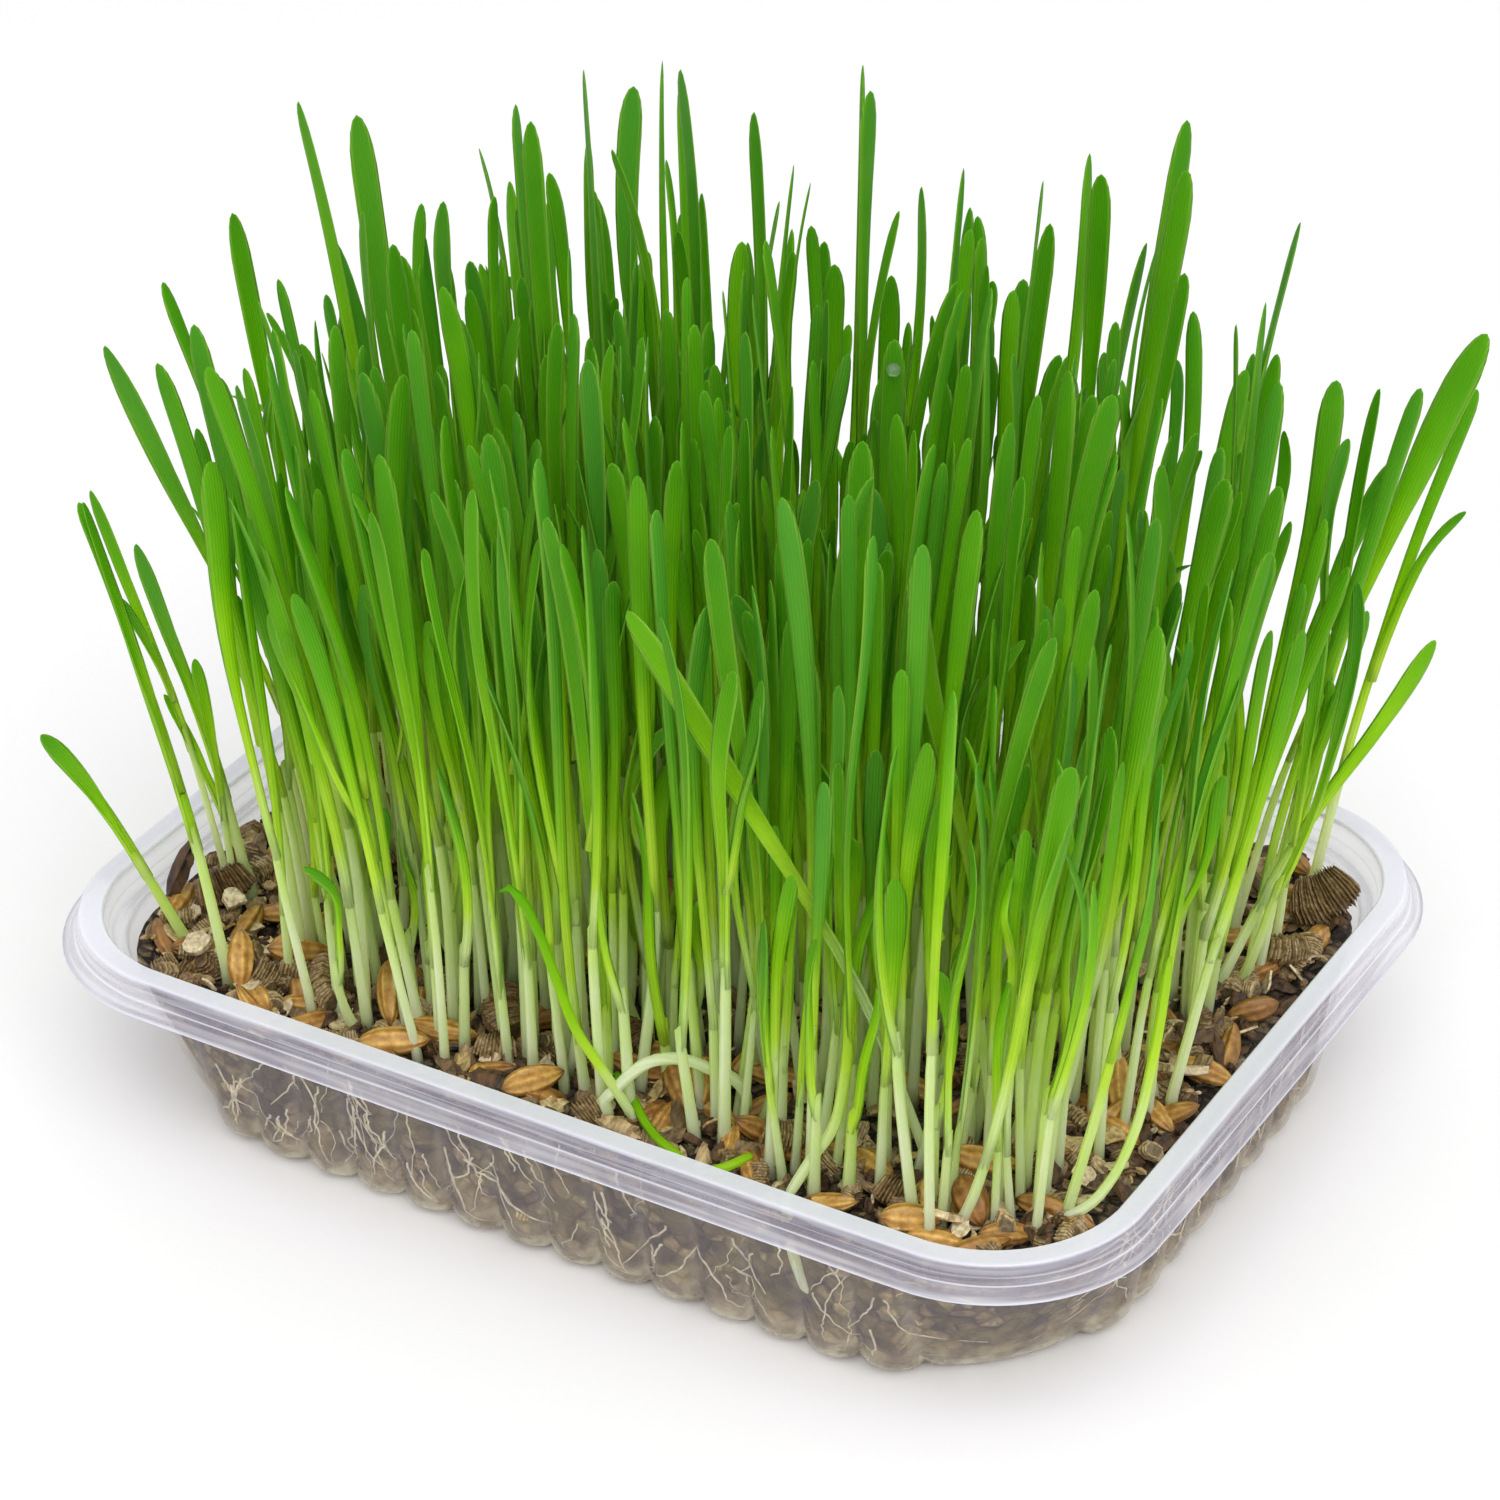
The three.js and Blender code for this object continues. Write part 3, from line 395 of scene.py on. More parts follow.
class Bag:
    """Collects lofted rings of points, in millimetres, with one number of each name for every point."""

    def __init__(self, *names):
        self.points = []
        self.faces = []
        self.names = names
        self.values = {name: [] for name in names}
        self.count = 0

    def add_rings(self, rings, turned=False, **values):
        """A closed skin over rings, an array of rings, points and xyz. A value is a number or an array."""
        rings = np.asarray(rings, dtype=float)
        levels, around = rings.shape[:2]
        first = self.count + levels * around
        index = self.count + np.arange(levels * around).reshape(levels, around)
        following = np.roll(index, -1, axis=1)
        quads = np.stack([index[:-1], following[:-1], following[1:], index[1:]], axis=-1).reshape(-1, 4)
        bottom = np.stack([np.full(around, first), following[0], index[0]], axis=-1)
        top = np.stack([np.full(around, first + 1), index[-1], following[-1]], axis=-1)
        for faces in (quads, bottom, top):
            # Painted highlight in the valleys between the lobes, added to the sheet's frost.
            self.faces += (faces[:, ::-1] if turned else faces).tolist()
        self.points += [rings.reshape(-1, 3), rings[:1].mean(axis=1), rings[-1:].mean(axis=1)]
        for name in self.names:
            spread = np.broadcast_to(np.asarray(values.get(name, 0.0), dtype=float), (levels, around))
            self.values[name] += [spread.reshape(-1), [spread[0].mean(), spread[-1].mean()]]
        self.count = first + 2

    def to_object(self, name, material, smooth=True):
        mesh = bpy.data.meshes.new(name)
        mesh.from_pydata((np.concatenate(self.points) * MM).tolist(), [], self.faces)
        mesh.polygons.foreach_set("use_smooth", [smooth] * len(self.faces))
        for value_name in self.names:
            attribute = mesh.attributes.new(value_name, "FLOAT", "POINT")
            attribute.data.foreach_set("value", np.concatenate(self.values[value_name]))
        mesh.materials.append(material)
        mesh.update()
        return link_object(name, mesh)


def link_object(name, data):
    made = bpy.data.objects.new(name, data)
    bpy.context.scene.collection.objects.link(made)
    return made


def unit(vectors):
    return vectors / np.maximum(1e-9, np.linalg.norm(vectors, axis=-1, keepdims=True))


def smoothstep(values):
    t = np.clip(values, 0, 1)
    return t * t * (3 - 2 * t)


def circle(sides):
    """The angles of evenly spread points round a circle."""
    return np.arange(sides) * 2 * math.pi / sides


def tube_rings(path, radii, sides, slant=0.0):
    """Rings round a path, whose last ring may be slanted like a cut reed."""
    path = np.asarray(path, dtype=float)
    along = unit(np.gradient(path, axis=0))
    guide = [0.37, 0.91, 0.18] if abs(along[0][2]) > 0.8 else [0.05, 0.1, 1.0]
    side = unit(np.cross(guide, along))
    other = np.cross(along, side)
    cosine = np.cos(circle(sides))[:, None]
    sine = np.sin(circle(sides))[:, None]
    rings = path[:, None] + radii[:, None, None] * (cosine * side[:, None] + sine * other[:, None])
    rings[-1] += slant * cosine * along[-1]
    rings[-2] += 0.5 * slant * cosine * along[-2]
    return rings


# Outlines of the tray and the soil in it


def lobe_bulge(step):
    """A lobe's cross-section at a point round the wall: a round bubble with sharp valleys at both sides."""
    share = step % LOBE_POINTS / LOBE_POINTS
    return max(0.0, 1 - (2 * share - 1) ** 2) ** 0.7


def quarter_outline(inset, radius, lobe, corner_steps):
    centre_x = TRAY_LENGTH / 2 - inset - radius
    centre_y = TRAY_WIDTH / 2 - inset - radius

    def on_corner(angle, bulge=0.0):
        reach = radius + bulge
        return centre_x + reach * math.cos(angle), centre_y + reach * math.sin(angle)

    def on_short_side(y, bulge):
        if y > centre_y:
            return on_corner(math.asin(min(1, (y - centre_y) / radius)), bulge)
        return centre_x + radius + bulge, y

    def on_long_side(x, bulge):
        if x > centre_x:
            return on_corner(math.acos(min(1, (x - centre_x) / radius)), bulge)
        return x, centre_y + radius + bulge

    points = []
    for step in range(HALF_LOBES_SHORT * LOBE_POINTS + 1):
        points.append(on_short_side(step / LOBE_POINTS * LOBE_PITCH_SHORT, lobe * lobe_bulge(step)))
    start = math.asin(max(0, HALF_LOBES_SHORT * LOBE_PITCH_SHORT - centre_y) / radius)
    end = math.acos(max(0, HALF_LOBES_LONG * LOBE_PITCH_LONG - centre_x) / radius)
    for step in range(1, corner_steps):
        points.append(on_corner(start + (end - start) * step / corner_steps))
    for step in range(HALF_LOBES_LONG * LOBE_POINTS, -1, -1):
        points.append(on_long_side(step / LOBE_POINTS * LOBE_PITCH_LONG, lobe * lobe_bulge(step)))
    return points


def all_round(quarter, flips):
    """Four quarters of an outline from the first, with each quarter's numbers flipped as named."""
    return np.concatenate([
        quarter,
        (quarter * flips[0])[-2::-1],
        (quarter * flips[1])[1:],
        (quarter * flips[2])[-2:0:-1],
    ])


def wall_valleys(corner_steps):
    """1 in the valleys between the wall's lobes, falling to 0 on the lobes and round the corners."""
    short_side = [(1 - lobe_bulge(step)) ** 2 for step in range(HALF_LOBES_SHORT * LOBE_POINTS + 1)]
    long_side = [(1 - lobe_bulge(step)) ** 2 for step in range(HALF_LOBES_LONG * LOBE_POINTS, -1, -1)]
    return all_round(np.array(short_side + [0.0] * (corner_steps - 1) + long_side), (1, 1, 1))


def outline_ring(level, corner_steps):
    """A ring of the wall. Near the foot it rises in the valleys, so that each lobe ends in a round bubble."""
    z, inset, radius, lobe = level[:4]
    quarter = np.array(quarter_outline(inset, radius, lobe, corner_steps))
    flat = all_round(quarter, ([-1, 1], [-1, -1], [1, -1]))
    lift = VALLEY_LIFT * min(1.0, lobe) * max(0.0, 1 - z / LIFT_TOP)
    return np.column_stack([flat, z + lift * wall_valleys(corner_steps)])


def round_profile(levels):
    """Cuts the corners of a profile, so that no edge of the moulded sheet is sharp."""
    points = np.array(levels, dtype=float)
    near_start = 0.75 * points[:-1] + 0.25 * points[1:]
    near_end = 0.25 * points[:-1] + 0.75 * points[1:]
    between = np.stack([near_start, near_end], axis=1).reshape(-1, points.shape[1])
    return np.concatenate([points[:1], between, points[-1:]])


def wall_place(turn, z, depth):
    """A place beside the inner face of the tray's wall at height z, and the wall's direction there."""
    table = np.array(sorted(BODY_INSIDE))
    level = [z] + [float(np.interp(z, table[:, 0], table[:, column])) for column in (1, 2, 3)]
    ring = outline_ring(level, WALL_PLACE_CORNER_STEPS)
    where = (turn % 1.0) * len(ring)
    index = int(where)
    a = ring[index]
    b = ring[(index + 1) % len(ring)]
    edge = unit(ring[(index + 2) % len(ring)] - ring[index - 1])
    return a + (b - a) * (where - index) + np.array([-edge[1], edge[0], 0]) * depth, edge


# Places of tufts and sprouts


def keep_inside(x, y):
    half_x, half_y = TUFT_HALF
    ax = min(abs(x), half_x)
    ay = min(abs(y), half_y)
    beyond_x = ax - (half_x - TUFT_CORNER)
    beyond_y = ay - (half_y - TUFT_CORNER)
    reach = math.hypot(beyond_x, beyond_y)
    if beyond_x > 0 and beyond_y > 0 and reach > TUFT_CORNER:
        ax = half_x - TUFT_CORNER + beyond_x * TUFT_CORNER / reach
        ay = half_y - TUFT_CORNER + beyond_y * TUFT_CORNER / reach
    return math.copysign(ax, x), math.copysign(ay, y)


def nearest_index(points, place):
    distances = [math.hypot(x - place[0], y - place[1]) for x, y in points]
    return distances.index(min(distances))


def push_tufts_apart(tufts, pinned):
    for i in range(len(tufts)):
        for j in range(i + 1, len(tufts)):
            dx = tufts[j][0] - tufts[i][0]
            dy = tufts[j][1] - tufts[i][1]
            distance = math.hypot(dx, dy)
            missing = TUFT_SPACING - distance
            if missing > 0:
                share_i = 0 if i in pinned and j not in pinned else 0.5
                share_j = 0 if j in pinned and i not in pinned else 0.5
                ux = dx / distance * missing
                uy = dy / distance * missing
                tufts[i] = keep_inside(tufts[i][0] - ux * share_i, tufts[i][1] - uy * share_i)
                tufts[j] = keep_inside(tufts[j][0] + ux * share_j, tufts[j][1] + uy * share_j)


def place_tufts(stream):
    tufts = []
    for row, row_y in enumerate(TUFT_ROWS):
        count = TUFT_COLUMNS if row % 2 == 0 else TUFT_COLUMNS - 1
        for column in range(count):
            x = (column - (count - 1) / 2) * TUFT_PITCH + TUFT_JITTER * stream.signed()
            y = row_y + TUFT_JITTER * stream.signed()
            tufts.append(keep_inside(x, y))
    pinned = set()
    for foot, *_ in STANDOUTS:
        index = nearest_index(tufts, foot)
        if index not in pinned:
            pinned.add(index)
            tufts[index] = keep_inside(*foot)
    for _ in range(RELAX_ROUNDS):
        push_tufts_apart(tufts, pinned)
    return tufts


def usual_height(x, y):
    at_right = RIGHT_DROP * max(0.0, 2 * x / TRAY_LENGTH) ** 2
    at_back_left = BACK_LEFT_DROP * max(0.0, (y - x) / TRAY_LENGTH)
    return TALLEST - at_right - at_back_left


def blade_height(stream, tuft):
    usual = usual_height(*tuft) - HEIGHT_DROP * stream.next()
    if stream.next() < SHORT_SHARE:
        return usual * stream.between(*SHORT_HEIGHT)
    return usual


def fan_out(x, y, lean, level):
    """How far a sprout that stands at x and y has leaned outward at this height."""
    return (np.array([FAN_LONG * x, FAN_SHORT * y]) + lean) * (level / LEVELS[-1]) ** FAN_CURVE


def draft_sprout(stream, tuft, index, count):
    angle = 2 * math.pi * (index + TURN_JITTER * stream.next()) / (count - 1)
    central = index == count - 1
    spread = 0 if central else stream.between(*TUFT_SPREAD)
    direction = np.array([math.cos(angle), math.sin(angle)])
    foot = np.array(tuft) + (0 if central else FOOT_RADIUS) * direction
    lean = np.array([LEAN_JITTER * stream.signed(), LEAN_JITTER * stream.signed()])
    places = [
        foot + spread * min(1, level / LEVELS[1]) * direction + fan_out(*tuft, lean, level)
        for level in LEVELS
    ]
    width = stream.between(*BLADE_WIDTH)
    height = blade_height(stream, tuft)
    facing = math.pi * stream.next()
    return {"places": places, "width": width, "height": height, "facing": facing, "fixed": False}


def standout_sprout(standout, tuft):
    foot, tip, width, _ = standout
    offset = math.hypot(foot[0] - tuft[0], foot[1] - tuft[1])
    kept = min(1, FOOT_RADIUS / max(offset, FOOT_RADIUS))
    rooted = np.array(tuft) + (np.array(foot) - np.array(tuft)) * kept
    reached = np.array(foot) + np.array(tip[:2])
    places = [rooted + (reached - rooted) * (level / tip[2]) ** STANDOUT_CURVE for level in LEVELS]
    facing = math.atan2(tip[1], tip[0]) + STANDOUT_TURN
    young = foot == YOUNG_FOOT
    return {
        "places": places, "width": width, "height": tip[2], "facing": facing, "fixed": True, "young": young,
    }


def place_sprouts(stream, tufts):
    sprouts = []
    standout_tufts = [nearest_index(tufts, foot) for foot, *_ in STANDOUTS]
    for number, tuft in enumerate(tufts):
        own = [standout for i, standout in enumerate(STANDOUTS) if standout_tufts[i] == number]
        usual = SPROUTS_PER_TUFT + 1 if number % 3 == 0 else SPROUTS_PER_TUFT
        drafted = 0 if any(alone for *_, alone in own) else max(LEAST_DRAFTED, usual - len(own))
        made = [standout_sprout(standout, tuft) for standout in own]
        made += [draft_sprout(stream, tuft, index, drafted) for index in range(drafted)]
        for sprout in made:
            sprout["tuft"] = number
            sprout["soil"] = soil_height(*tuft)
        sprouts += made
    return sprouts


def bend_clear(sprouts):
    """Bends sprouts clear of each other, as the CAD source does. The feet stay where they are."""
    places = np.array([sprout["places"] for sprout in sprouts])
    heights = np.array([sprout["height"] for sprout in sprouts])
    free = np.array([not sprout["fixed"] for sprout in sprouts], dtype=float)
    width = np.array([sprout["width"] for sprout in sprouts])
    stem = np.full(len(sprouts), STEM_WIDTH)
    widths = np.stack([stem, stem * STEM_TOP_WIDTH / STEM_WIDTH, width, TIP_WIDTH_SHARE * width], axis=1)
    first, second = np.triu_indices(len(sprouts), 1)
    near = np.linalg.norm(places[first, 0] - places[second, 0], axis=1) < NEIGHBOUR_REACH
    first = first[near]
    second = second[near]
    for _ in range(RELAX_ROUNDS):
        pushes = np.zeros_like(places)
        for band in range(len(LEVELS) - 1):
            start = places[second, band] - places[first, band]
            change = places[second, band + 1] - places[first, band + 1] - start
            squared = (change * change).sum(axis=1)
            along = np.where(squared > 0, -(start * change).sum(axis=1) / np.maximum(squared, 1e-12), 0)
            t = np.clip(along, 0, 1)[:, None]
            between = start + change * t
            distance = np.maximum(LEAST_DISTANCE, np.linalg.norm(between, axis=1))[:, None]
            low = (widths[first, band] + widths[second, band])[:, None] / 2
            high = (widths[first, band + 1] + widths[second, band + 1])[:, None] / 2
            missing = low + (high - low) * t + CLEAR - distance
            reach = (heights[first] > LEVELS[band]) & (heights[second] > LEVELS[band])
            push = np.where(reach[:, None] & (missing > 0), missing * PUSH_STRENGTH, 0) * between / distance
            for index, sign in ((first, -1), (second, 1)):
                moved = sign * push * free[index][:, None]
                if band > 0:
                    np.add.at(pushes[:, band], index, moved * (1 - t))
                np.add.at(pushes[:, band + 1], index, moved * t)
        places += pushes
    for sprout, moved in zip(sprouts, places):
        sprout["places"] = moved


# Blades and stems


def spine_at(sprout, heights):
    """The sprout's centre line at these heights above the soil, with the levels' corners smoothed."""
    places = np.asarray(sprout["places"])
    heights = np.asarray(heights, dtype=float)
    offsets = np.linspace(-LEVEL_SMOOTHING, LEVEL_SMOOTHING, 9)
    flat = np.zeros((len(heights), 2))
    for offset in offsets:
        sample = np.clip(heights + offset * np.clip(heights / 14, 0, 1), 0, None)
        for axis in (0, 1):
            flat[:, axis] += np.interp(sample, LEVELS, places[:, axis]) / len(offsets)
    hook = np.exp(-np.clip(heights, 0, None) / HOOK_FADE)
    flat += hook[:, None] * sprout.get("hook", (0, 0))
    return np.column_stack([flat, sprout["soil"] + heights])


def add_blade(bag, path, share, width, foot_width, facing, draw, **values):
    """A leaf blade: rolled at its foot, flat and widest in its upper third, with a blunt pointed tip."""
    twist = draw.uniform(-1.1, 1.1)
    curl = draw.uniform(0.35, 1.1)
    rolled = draw.uniform(4.2, 5.4)
    taper = draw.uniform(1.5, 2.8)
    along = unit(np.gradient(path, axis=0))
    turned = facing + twist * share
    flat = np.column_stack([np.cos(turned), np.sin(turned), np.zeros(len(path))])
    across = unit(flat - (flat * along).sum(axis=1, keepdims=True) * along)
    up = np.cross(along, across)
    length = np.linalg.norm(np.diff(path, axis=0), axis=1).sum()
    from_tip = (1 - share) * length
    tip = (1 - (1 - np.clip(from_tip / (taper * width), 0, 1)) ** 2.0) ** 0.5
    foot_arc = rolled * foot_width / 2
    arc = (foot_arc + (width - foot_arc) * smoothstep((share - 0.2) / 0.6)) * tip
    arc = np.maximum(arc, BLADE_EDGE)
    opening = smoothstep((share - 0.22) / 0.7)
    angle = (rolled + (curl - rolled) * opening)[:, None]
    radius = arc[:, None] / angle
    turn = BLADE_ACROSS[None, :] * angle / 2
    middle_x = radius * np.sin(turn)
    middle_y = radius * (1 - np.cos(turn))
    middle_y = middle_y - middle_y.mean(axis=1, keepdims=True)
    body = BLADE_EDGE + BLADE_MIDDLE * (1 - BLADE_ACROSS ** 2)
    half_x = -0.5 * body * np.clip(tip, 0.25, 1)[:, None] * np.sin(turn)
    half_y = 0.5 * body * np.clip(tip, 0.25, 1)[:, None] * np.cos(turn)
    x = np.concatenate([middle_x + half_x, (middle_x - half_x)[:, -2:0:-1]], axis=1)[:, :, None]
    y = np.concatenate([middle_y + half_y, (middle_y - half_y)[:, -2:0:-1]], axis=1)[:, :, None]
    rings = path[:, None, :] + x * across[:, None, :] + y * up[:, None, :]
    veins = BLADE_ROUND * arc[:, None] / 2
    # The edge value is 1 at the blade's rims, where the sprout material paints a highlight.
    bag.add_rings(rings, turned=True, veins=veins, edge=np.abs(BLADE_ROUND) ** 5, **values)


def add_sheath(bag, sprout, top, draw, tone):
    heights = np.linspace(-SHEATH_ROOTED, top, SHEATH_RINGS)
    share = (heights - heights[0]) / (heights[-1] - heights[0])
    radii = sprout["stem"] / 2 * (1.12 - 0.2 * share + 0.25 * np.exp(-np.clip(heights, 0, None) / 2.5))
    radii[-1] *= 0.86
    rings = tube_rings(spine_at(sprout, heights), radii, SHEATH_SIDES, draw.uniform(0.7, 1.8))
    green = max(0, sprout["shift"]) + 0.19 * share ** 1.8
    bag.add_rings(rings, green=green[:, None], tone=tone, veins=SHEATH_AROUND * 3)


def leaf_green(share, heights, shift):
    """How green a leaf is, from 0 for a pale sheath to 1 for a dark upper blade."""
    return np.clip(0.16 + shift + 0.5 * share ** 1.2 + 0.36 * smoothstep((heights - 12) / 90), 0, 1)


def add_leaf(bag, sprout, start, end, draw, tone, width, facing, outward=0.0):
    share = 1 - (1 - np.linspace(0, 1, BLADE_RINGS)) ** 1.8
    heights = start + (end - start) * share
    path = spine_at(sprout, heights)
    bow = draw.uniform(-3.2, 3.2) * (0.25 if sprout["fixed"] else 1)
    sway = draw.uniform(-1.3, 1.3) * (0.3 if sprout["fixed"] else 1)
    nod = draw.uniform(-3.5, 3.5) * (draw.random() < 0.5)
    drift = bow * 4 * share * (1 - share) + sway * np.sin(share * 7 + facing) * share
    drift += nod * np.clip((share - 0.6) / 0.4, 0, 1) ** 2
    path[:, :2] += drift[:, None] * [-math.sin(facing), math.cos(facing)]
    swing = [math.cos(facing + 1.3), math.sin(facing + 1.3)]
    path[:, :2] += (outward * share ** 1.6)[:, None] * swing
    green = leaf_green(share, heights, sprout["shift"])[:, None]
    add_blade(bag, path, share, width, sprout["stem"] * 0.86, facing, draw, tone=tone, green=green)


def add_sprout(bag, sprout, draw):
    height = sprout["height"]
    tone = draw.random()
    sprout["shift"] = draw.uniform(-0.08, 0.08)
    if sprout.get("young"):
        tone = YOUNG_TONE
        sprout["shift"] = YOUNG_SHIFT
    sprout["stem"] = draw.uniform(*STEM_THICKNESS)
    if draw.random() < HOOKED_SHARE and not sprout["fixed"]:
        swing = draw.uniform(0, 2 * math.pi)
        sprout["hook"] = (HOOK_REACH * math.cos(swing), HOOK_REACH * math.sin(swing))
    sheath = min(draw.uniform(*SHEATH_LENGTH), SHEATH_SHARE * height)
    add_sheath(bag, sprout, sheath, draw, tone)
    width = sprout["width"] * draw.uniform(*VISUAL_WIDTH)
    add_leaf(bag, sprout, sheath - 4, height, draw, tone, width, sprout["facing"])
    if draw.random() < SECOND_LEAF_SHARE and height > SECOND_LEAF_LEAST:
        start = sheath + draw.uniform(0, 0.25) * height
        end = start + (height - start) * draw.uniform(0.55, 0.98)
        outward = draw.choice([-1, 1]) * draw.uniform(2.5, 6)
        facing = sprout["facing"] + draw.uniform(-0.9, 0.9)
        add_leaf(bag, sprout, start, end, draw, draw.random(), width * 0.8, facing, outward)


def extra_height(x, y, draw):
    at_back_left = EXTRA_LEFT_DROP * max(0.0, (y - x) / TRAY_LENGTH)
    at_right = EXTRA_RIGHT_RISE * max(0.0, 2 * x / TRAY_LENGTH)
    height = usual_height(x, y) - EXTRA_SHORTER - at_back_left + at_right - draw.uniform(*EXTRA_HEIGHT_DROP)
    if draw.random() < EXTRA_SHORT_SHARE:
        height *= draw.uniform(*EXTRA_SHORT_HEIGHT)
    start, end, front, most = LOW_PATCH
    return min(height, most) if y < front and start < x < end else height


def extra_sprouts(tufts, sprouts, draw):
    """Sprouts between the tufts, which the plain solids leave out."""
    taken = [tuple(sprout["places"][0]) for sprout in sprouts]
    alone = [foot for foot, _, _, has_tuft in STANDOUTS if has_tuft]
    made = []
    for _ in range(EXTRA_TRIES):
        if len(made) == EXTRA_SPROUTS:
            break
        half_x, half_y = EXTRA_HALF
        x, y = keep_inside(draw.uniform(-half_x, half_x), draw.uniform(-half_y, half_y))
        near_standout = any(math.hypot(x - a, y - b) < STANDOUT_ROOM for a, b in alone)
        if near_standout or min(math.hypot(x - a, y - b) for a, b in taken) < EXTRA_SPACING:
            continue
        taken.append((x, y))
        foot = np.array([x, y])
        lean = np.array([draw.uniform(*EXTRA_LEAN), draw.uniform(*EXTRA_LEAN)])
        height = extra_height(x, y, draw)
        made.append({
            "places": [foot + fan_out(x, y, lean, level) for level in LEVELS], "height": height,
            "width": draw.uniform(*EXTRA_WIDTH), "facing": draw.gauss(*EXTRA_FACING), "fixed": False,
            "tuft": nearest_index(tufts, foot), "soil": soil_height(x, y),
        })
    return made


def drop_sprout(tufts):
    """The sprout that carries the water drop."""
    foot = np.array(DROP_BLADE["foot"])
    places = [foot + np.array(DROP_BLADE["lean"]) * level / LEVELS[-1] for level in LEVELS]
    tuft = nearest_index(tufts, foot)
    return {**DROP_BLADE, "places": places, "fixed": True, "tuft": tuft, "soil": soil_height(*foot)}


def smooth_path(points, count):
    """Evenly spread points along a curve that passes through the given ones."""
    points = np.asarray(points, dtype=float)
    lengths = np.concatenate([[0], np.cumsum(np.linalg.norm(np.diff(points, axis=0), axis=1))])
    slopes = np.gradient(points, lengths, axis=0)
    samples = np.linspace(0, lengths[-1], count)
    index = np.clip(np.searchsorted(lengths, samples, side="right") - 1, 0, len(points) - 2)
    span = (lengths[index + 1] - lengths[index])[:, None]
    t = (samples[:, None] - lengths[index][:, None]) / span
    start = points[index] * (2 * t ** 3 - 3 * t ** 2 + 1) + slopes[index] * span * (t ** 3 - 2 * t ** 2 + t)
    end = points[index + 1] * (3 * t ** 2 - 2 * t ** 3) + slopes[index + 1] * span * (t ** 3 - t ** 2)
    return start + end


def add_named_shoots(bag, draw):
    for points, thickness, (first_green, last_green) in NAMED_SHOOTS:
        share = np.linspace(0, 1, SHOOT_RINGS)
        ends = np.minimum(1, np.minimum(share * 9 + 0.55, (1 - share) * 9 + 0.35))
        rings = tube_rings(smooth_path(points, SHOOT_RINGS), thickness / 2 * ends, SHEATH_SIDES)
        green = (first_green + (last_green - first_green) * share)[:, None]
        bag.add_rings(rings, green=green, tone=draw.uniform(0.3, 0.6), veins=SHEATH_AROUND * 3)


# Chips, flakes and grains


def placed(rings, place, turn, tilt=0.0, roll=0.0):
    """Turns a small piece made round the origin with its length on X, and moves it to its place."""
    rotation = np.array(Euler((roll, tilt, turn), "XYZ").to_matrix())
    return rings @ rotation.T + np.asarray(place)


def grain_rings(length, width, height, draw):
    """A husked grain: pointed at both ends, ridged along its back, creased below."""
    t = np.linspace(-1, 1, GRAIN_RINGS)
    body = np.clip(1 - np.abs(t) ** 2.3, 0, 1) ** 0.72
    body = np.maximum(body * (1 - 0.12 * t), 0.05)[:, None]
    angles = circle(GRAIN_SIDES)
    ridges = 1 + 0.045 * np.cos(angles * 6)
    crease = 1 - 0.28 * np.exp(-((angles - 1.5 * math.pi) / 0.3) ** 2)
    bend = draw.uniform(-0.5, 0.5)
    x = np.repeat((t * length / 2)[:, None], GRAIN_SIDES, axis=1)
    y = body * (np.cos(angles) * ridges * crease) * width / 2
    z = body * (np.sin(angles) * ridges * crease) * height / 2 + (bend * (1 - t ** 2))[:, None]
    return np.stack([x, y, z], axis=-1), {"grain": angles, "edge": np.abs(t)[:, None]}


def ridged_rings(length, width, height, draw, curve):
    """Expanded mineral flake: a bent stack of thin plates. Its bend is drawn where no curve is given."""
    steps = 2 * max(LEAST_PLATES, int(length / PLATE_PITCH))
    angles = circle(RIDGED_SIDES)
    radius = np.array([draw.uniform(0.8, 1.15) for _ in angles])
    bend = draw.uniform(-0.05, 0.05) if curve is None else curve
    rings = []
    for step in range(steps + 1):
        x = (step / steps - 0.5) * length + draw.uniform(-0.07, 0.07)
        scale = (0.82 if step % 2 == 0 else draw.uniform(0.88, 1.1)) * (1 - 0.25 * abs(2 * x / length) ** 4)
        turn = 2 * bend * x
        torn = radius * scale * np.array([draw.uniform(0.93, 1.05) for _ in angles])
        y = np.cos(angles) * torn * width / 2
        z = np.sin(angles) * torn * height / 2
        tilt = draw.uniform(-0.04, 0.04)
        leaned = x - y * math.sin(turn) + tilt * z
        rings.append(np.column_stack([leaned, bend * x * x + y * math.cos(turn), z]))
    # The edge value is 1 on the wider plates and 0 in the grooves between them, which the vermiculite
    # material paints with shade.
    return np.array(rings), {"edge": (np.arange(steps + 1) % 2)[:, None]}


def chunk_rings(length, width, height, draw, steps=7, sides=8):
    """A broken chip of bark or wood: angular, with torn ends."""
    def each_side(least, most):
        return np.array([draw.uniform(least, most) for _ in range(sides)])

    angles = (np.arange(sides) + each_side(-0.25, 0.25)) * 2 * math.pi / sides
    outline = each_side(0.75, 1.15)
    square = (np.abs(np.cos(angles)) ** 3 + np.abs(np.sin(angles)) ** 3) ** (-1 / 3)
    rings = []
    for step in range(steps):
        share = 2 * step / (steps - 1) - 1
        reach = (1 - 0.5 * abs(share) ** 4) * draw.uniform(0.86, 1.08)
        radius = outline * square * reach * each_side(0.86, 1.12)
        x = share * length / 2 + each_side(-0.16, 0.16) * length * abs(share) ** 3
        y = np.cos(angles) * radius * width / 2
        z = np.sin(angles) * radius * height / 2
        rings.append(np.column_stack([x, y, z]))
    return np.array(rings)


